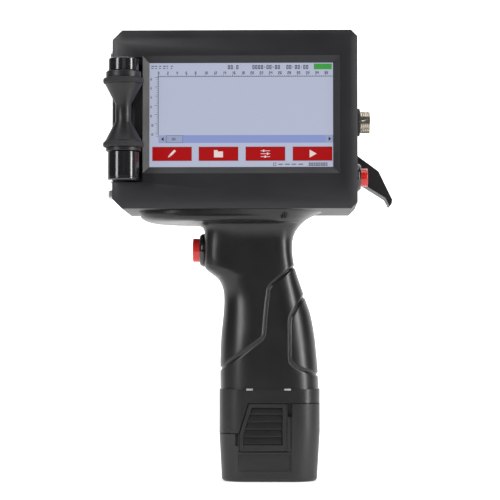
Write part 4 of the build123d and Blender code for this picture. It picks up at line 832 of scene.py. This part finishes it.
def o_rings():
    """Round-edged rubber treads on the measuring roller."""
    low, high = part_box("roller_treads")
    middle = centre("roller_treads")
    outer = (high.x - low.x) / 2 / MM
    inner = outer - TREAD_DEEP
    pieces = []
    for bottom in (low.z / MM, high.z / MM - TREAD_TALL):
        section = []
        for step in range(TREAD_STEPS + 1):
            angle = 2 * math.pi * step / TREAD_STEPS
            across = (outer + inner) / 2 + (outer - inner) / 2 * squared(math.cos(angle))
            along = bottom + TREAD_TALL / 2 + TREAD_TALL / 2 * squared(math.sin(angle))
            section.append((across, along))
        mesh = lathe("roller tread", section, Vector((middle.x, middle.y, 0)), "+z", 120)
        pieces.append(add_piece("roller tread", mesh, "roller", LOOKS["black_rubber"]))
    for piece in pieces:
        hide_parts("roller_treads")


# Width of the rounded edge of each moulded or turned part, in mm
FINISHED = {
    "front_cover": 0.5, "rear_cover": 0.5, "print_face_plate": 0.2, "guide_wheel": 0.5, "roller_hub": 0.35,
    "upper_roller_block": 0.7, "lower_roller_block": 0.7, "encoder_cap": 0.3, "latch_lever": 0.6,
    "cartridge_lid": 0.3, "cover_screws": 0.2, "plate_screws": 0.2, "power_button_body": 0.3,
    "trigger_body": 0.3, "lever_pad": 0.3, "usb_socket": 0.12,
}


def shells():
    """Moulded and turned CAD parts that show, each with rounded edges."""
    for node, width in FINISHED.items():
        finished(node, width, segments=3)


PACK_FACE = 21.2
LATCH_FACE = 22.5
LATCH_TOP = 40.0
LATCH_KNEE = 24.6
LATCH_FOOT = 16.0
LATCH_RIGHT = 9.0
LATCH_LEFT_TOP = -10.3
LATCH_LEFT_FOOT = -15.2
LATCH_THICK = 2
LATCH_RIM = 1.9
RIBS = 5
# Cuts in both broad faces of the pack: X span, depth and Z span
PACK_CUTS = (
    ((9.6, 11.8), 1.6, (33.5, 41.0)), ((-17.3, -15.9), 1.6, (18.6, 25.0)),
    ((11.0, 11.5), 0.35, (16.8, 33.6)), ((-15.8, 11.5), 0.35, (15.2, 15.7)),
    ((-15.8, 11.5), 0.3, (5.6, 14.3)),
)


def box_mesh(maker, x, y, z):
    """Adds a box between corner values in mm."""
    size = Vector((x[1] - x[0], y[1] - y[0], z[1] - z[0])) * MM
    middle = Vector((x[0] + x[1], y[0] + y[1], z[0] + z[1])) * MM / 2
    place = Matrix.Translation(middle) @ Matrix.Diagonal((*size, 1.0))
    bmesh.ops.create_cube(maker, size=1.0, matrix=place)


def carved(mesh, boxes):
    """Cuts boxes of (x, y, z) spans out of a closed mesh."""
    maker = bmesh.new()
    for x, y, z in boxes:
        box_mesh(maker, x, y, z)
    tool_mesh = bpy.data.meshes.new("cutter")
    maker.to_mesh(tool_mesh)
    maker.free()
    tool = bpy.data.objects.new("cutter", tool_mesh)
    body = bpy.data.objects.new("carved", mesh)
    for thing in (tool, body):
        bpy.context.scene.collection.objects.link(thing)
    cut = body.modifiers.new("cut", "BOOLEAN")
    cut.operation = "DIFFERENCE"
    cut.solver = "EXACT"
    cut.use_self = True
    cut.object = tool
    ready = body.evaluated_get(bpy.context.evaluated_depsgraph_get())
    result = bpy.data.meshes.new_from_object(ready)
    for thing in (tool, body):
        bpy.data.objects.remove(thing)
    return result


def battery_shell():
    """Pack shell with the slots beside each latch, panel lines and a plain label recess."""
    boxes = []
    for side in (-1, 1):
        face = side * PACK_FACE
        for across, deep, tall in PACK_CUTS:
            boxes.append((across, sorted((face - side * deep, face + side * 3)), tall))
    mesh = carved(cad_copy("battery_case"), boxes)
    shade(mesh, 32)
    shell = add_piece("battery shell", mesh, "battery", LOOKS["pack_plastic"])
    soften(shell, 0.35)
    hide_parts("battery_case")


def latch_edge(height, inset):
    """Left edge of the latch at one height."""
    if height <= LATCH_KNEE:
        return LATCH_LEFT_FOOT + inset
    share = (height - LATCH_KNEE) / (LATCH_TOP - LATCH_KNEE)
    return LATCH_LEFT_FOOT + share * (LATCH_LEFT_TOP - LATCH_LEFT_FOOT) + inset


def prism(maker, section, x_of):
    """Bar with a (y, z) section in mm, between the two x values that x_of gives at each height."""
    ends = []
    for end in (0, 1):
        ends.append([maker.verts.new(Vector((x_of(z)[end], y, z)) * MM) for y, z in section])
    count = len(section)
    for index in range(count):
        after = (index + 1) % count
        maker.faces.new((ends[0][index], ends[0][after], ends[1][after], ends[1][index]))
    maker.faces.new(ends[0])
    maker.faces.new(ends[1])


def battery_latch(node, side):
    """Latch with a raised rim and louvre ribs that slope out of a sunken pad."""
    face = side * LATCH_FACE
    rear = face - side * LATCH_THICK
    bottom = LATCH_FOOT + 1.6 * LATCH_RIM
    top = LATCH_TOP - LATCH_RIM
    inner_right = LATCH_RIGHT - LATCH_RIM
    maker = bmesh.new()

    def slab(sunk, low, high, x_of):
        """Bar between two heights, from a depth behind the face to the latch's back."""
        front = face - side * sunk
        prism(maker, ((front, low), (front, high), (rear, high), (rear, low)), x_of)

    slab(1.5, LATCH_FOOT, LATCH_TOP, lambda z: (latch_edge(z, 0.0), LATCH_RIGHT))
    for low, high in ((LATCH_FOOT, LATCH_KNEE), (LATCH_KNEE, LATCH_TOP)):
        slab(0.0, low, high, lambda z: (latch_edge(z, 0.0), latch_edge(z, LATCH_RIM)))
    slab(0.0, LATCH_FOOT, LATCH_TOP, lambda z: (inner_right, LATCH_RIGHT))
    for low, high in ((LATCH_FOOT, bottom), (top, LATCH_TOP)):
        slab(0.0, low, high, lambda z: (latch_edge(z, LATCH_RIM), inner_right))
    bmesh.ops.remove_doubles(maker, verts=maker.verts, dist=0.00001)
    pitch = (top - bottom) / RIBS
    for index in range(RIBS):
        low = bottom + index * pitch + 0.7
        high = bottom + (index + 1) * pitch
        foot = face - side * 1.9
        rib = ((face - side * 0.25, low), (face - side * 1.3, high), (foot, high), (foot, low))
        prism(maker, rib, lambda z: (latch_edge(z, LATCH_RIM + 0.6), inner_right - 0.5))
    bmesh.ops.recalc_face_normals(maker, faces=maker.faces)
    mesh = bpy.data.meshes.new(node + " louvred")
    maker.to_mesh(mesh)
    maker.free()
    shade(mesh, 30)
    latch = add_piece(node + " louvred", mesh, BODY_OF[node], LOOKS["pack_plastic"])
    soften(latch, 0.22)
    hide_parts(node)


# Places, half width, depths and heights of the pale bars that paint the highlights on the collar step
HIGHLIGHT_PLACES = (-10.0, 9.5)
HIGHLIGHT_HALF = 1.7
HIGHLIGHT_FACES = (21.9, 22.75)
HIGHLIGHT_HEIGHTS = (46.9, 47.9)


def collar_highlight_bars():
    """Small raised bars on the collar's step, two on each side, whose pale grey is painted highlight for the
    highlights on the step.
    """
    for side in (-1, 1):
        for x in HIGHLIGHT_PLACES:
            maker = bmesh.new()
            deep = sorted((side * HIGHLIGHT_FACES[0], side * HIGHLIGHT_FACES[1]))
            box_mesh(maker, (x - HIGHLIGHT_HALF, x + HIGHLIGHT_HALF), deep, HIGHLIGHT_HEIGHTS)
            mesh = bpy.data.meshes.new("collar catch")
            maker.to_mesh(mesh)
            maker.free()
            shade(mesh, 30)
            highlight_bar = add_piece("collar catch", mesh, "housing", PAINTED_HIGHLIGHT)
            soften(highlight_bar, 0.3, 3)


BLACKENED = ("mount_screws", "grip_screws", "lever_pin")


def colour_nodes():
    """Gives every CAD node the look of its material slot."""
    for node, thing in frame["nodes"].items():
        look = BLACK_STEEL if node in BLACKENED else LOOKS[SLOT_OF[node]]
        for place in thing.material_slots:
            place.material = look


# ---------------------------------------------------------------- studio

FLOOR_HALF = 3.5
FLOOR_FRONT = -0.45
FLOOR_BACK = 1.2
SWEEP_R = 0.8
SWEEP_STEPS = 12
SWEEP_TOP = 3.5
PAPER_GLOW = 0.51
GLOW_SPAN = (0.4, 1.1)
ROOM_FILL = 0.09


def studio_paper():
    """Pale paper that brightens with distance, so that its edges melt into the white behind it."""
    paper = material(
        "studio paper", ((0.80, 0.80, 0.80), (0.84, 0.84, 0.84)),
        rough=(0.7, 0.8), grain=(300, 0.00001), glow=1.0,
    )
    nodes, links = paper.node_tree.nodes, paper.node_tree.links
    where = nodes.new("ShaderNodeTexCoord")
    away = nodes.new("ShaderNodeVectorMath")
    away.operation = "LENGTH"
    path = nodes.new("ShaderNodeLightPath")
    fade = nodes.new("ShaderNodeMapRange")
    fade.inputs["From Min"].default_value = GLOW_SPAN[0]
    fade.inputs["From Max"].default_value = GLOW_SPAN[1]
    fade.inputs["To Min"].default_value = PAPER_GLOW
    fade.inputs["To Max"].default_value = 1.0
    seen = nodes.new("ShaderNodeMix")
    seen.inputs["A"].default_value = PAPER_GLOW
    links.new(where.outputs["Object"], away.inputs[0])
    links.new(away.outputs["Value"], fade.inputs["Value"])
    links.new(path.outputs["Is Camera Ray"], seen.inputs["Factor"])
    links.new(fade.outputs["Result"], seen.inputs["B"])
    links.new(seen.outputs["Result"], nodes["Principled BSDF"].inputs["Emission Color"])
    return paper


def studio():
    """Pale floor and sweep, and the room's fill light."""
    maker = bmesh.new()
    profile = [(FLOOR_FRONT, 0.0), (FLOOR_BACK, 0.0)]
    for step in range(1, SWEEP_STEPS + 1):
        angle = math.pi / 2 * step / SWEEP_STEPS
        profile.append((FLOOR_BACK + SWEEP_R * math.sin(angle), SWEEP_R - SWEEP_R * math.cos(angle)))
    profile.append((FLOOR_BACK + SWEEP_R, SWEEP_TOP))
    rows = [[maker.verts.new((x, y, z)) for x in (-FLOOR_HALF, FLOOR_HALF)] for y, z in profile]
    for near, far in zip(rows, rows[1:]):
        maker.faces.new((near[0], near[1], far[1], far[0]))
    mesh = bpy.data.meshes.new("studio sweep")
    maker.to_mesh(mesh)
    maker.free()
    shade(mesh, 60)
    mesh.materials.append(studio_paper())
    floor = bpy.data.objects.new("studio_sweep", mesh)
    bpy.context.scene.collection.objects.link(floor)
    world = bpy.data.worlds.new("studio light")
    world.use_nodes = True
    nodes, links = world.node_tree.nodes, world.node_tree.links
    nodes["Background"].inputs["Color"].default_value = (1.0, 1.0, 1.0, 1.0)
    path = nodes.new("ShaderNodeLightPath")
    level = nodes.new("ShaderNodeMapRange")
    level.inputs["To Min"].default_value = ROOM_FILL
    level.inputs["To Max"].default_value = 1.0
    links.new(path.outputs["Is Camera Ray"], level.inputs["Value"])
    links.new(level.outputs["Result"], nodes["Background"].inputs["Strength"])
    bpy.context.scene.world = world
    bpy.context.scene.view_settings.view_transform = "Standard"


def softbox(name, place, aim, size, power):
    """Rectangular area light aimed at a point, with metres and watts."""
    light = bpy.data.lights.new(name, "AREA")
    light.shape = "RECTANGLE"
    light.size, light.size_y = size
    light.energy = power
    holder = bpy.data.objects.new(name, light)
    holder.location = place
    holder.rotation_euler = (Vector(aim) - Vector(place)).to_track_quat("-Z", "Y").to_euler()
    bpy.context.scene.collection.objects.link(holder)


def lights():
    """Key from the left, strip from the right, top box and a light for the backdrop."""
    softbox("left softbox", (-0.75, -0.75, 0.55), (0, 0, 0.14), (0.3, 0.8), 6.0)
    softbox("right strip", (0.85, -0.45, 0.35), (0, 0, 0.12), (0.2, 0.8), 7.0)
    softbox("top softbox", (0.0, -0.15, 1.1), (0, 0, 0.15), (0.8, 0.5), 4.0)
    softbox("front fill", (0.1, -1.5, 0.5), (0, 0, 0.12), (0.6, 0.3), 0.3)
    softbox("backdrop light", (0.0, 0.6, 1.6), (0, 1.7, 0.5), (2.4, 0.6), 20.0)


LENS_PLACE = (0.0159, -1.083, 0.0714)
LENS_AIM = (-0.0095, -0.033, 0.1185)
LENS_LENGTH = 148.8
FILM_WIDTH = 36.0


def camera():
    """Long lens at the height of the grip, nearly square to the screen."""
    lens = bpy.data.cameras.new("camera")
    lens.lens = LENS_LENGTH
    lens.sensor_width = FILM_WIDTH
    lens.clip_start = 0.05
    lens.clip_end = 20.0
    holder = bpy.data.objects.new("camera", lens)
    place = Vector(LENS_PLACE)
    aim = Vector(LENS_AIM)
    turn = (aim - place).to_track_quat("-Z", "Y").to_matrix().to_4x4()
    holder.matrix_world = Matrix.Translation(place) @ turn
    bpy.context.scene.collection.objects.link(holder)
    bpy.context.scene.camera = holder


# ---------------------------------------------------------------- build

colour_nodes()
shells()
grips()
battery_shell()
battery_latch("battery_latch_near", -1)
battery_latch("battery_latch_far", 1)
collar_highlight_bars()
connector()
buttons()
o_rings()
display()
studio()
lights()
camera()
bpy.context.view_layer.update()
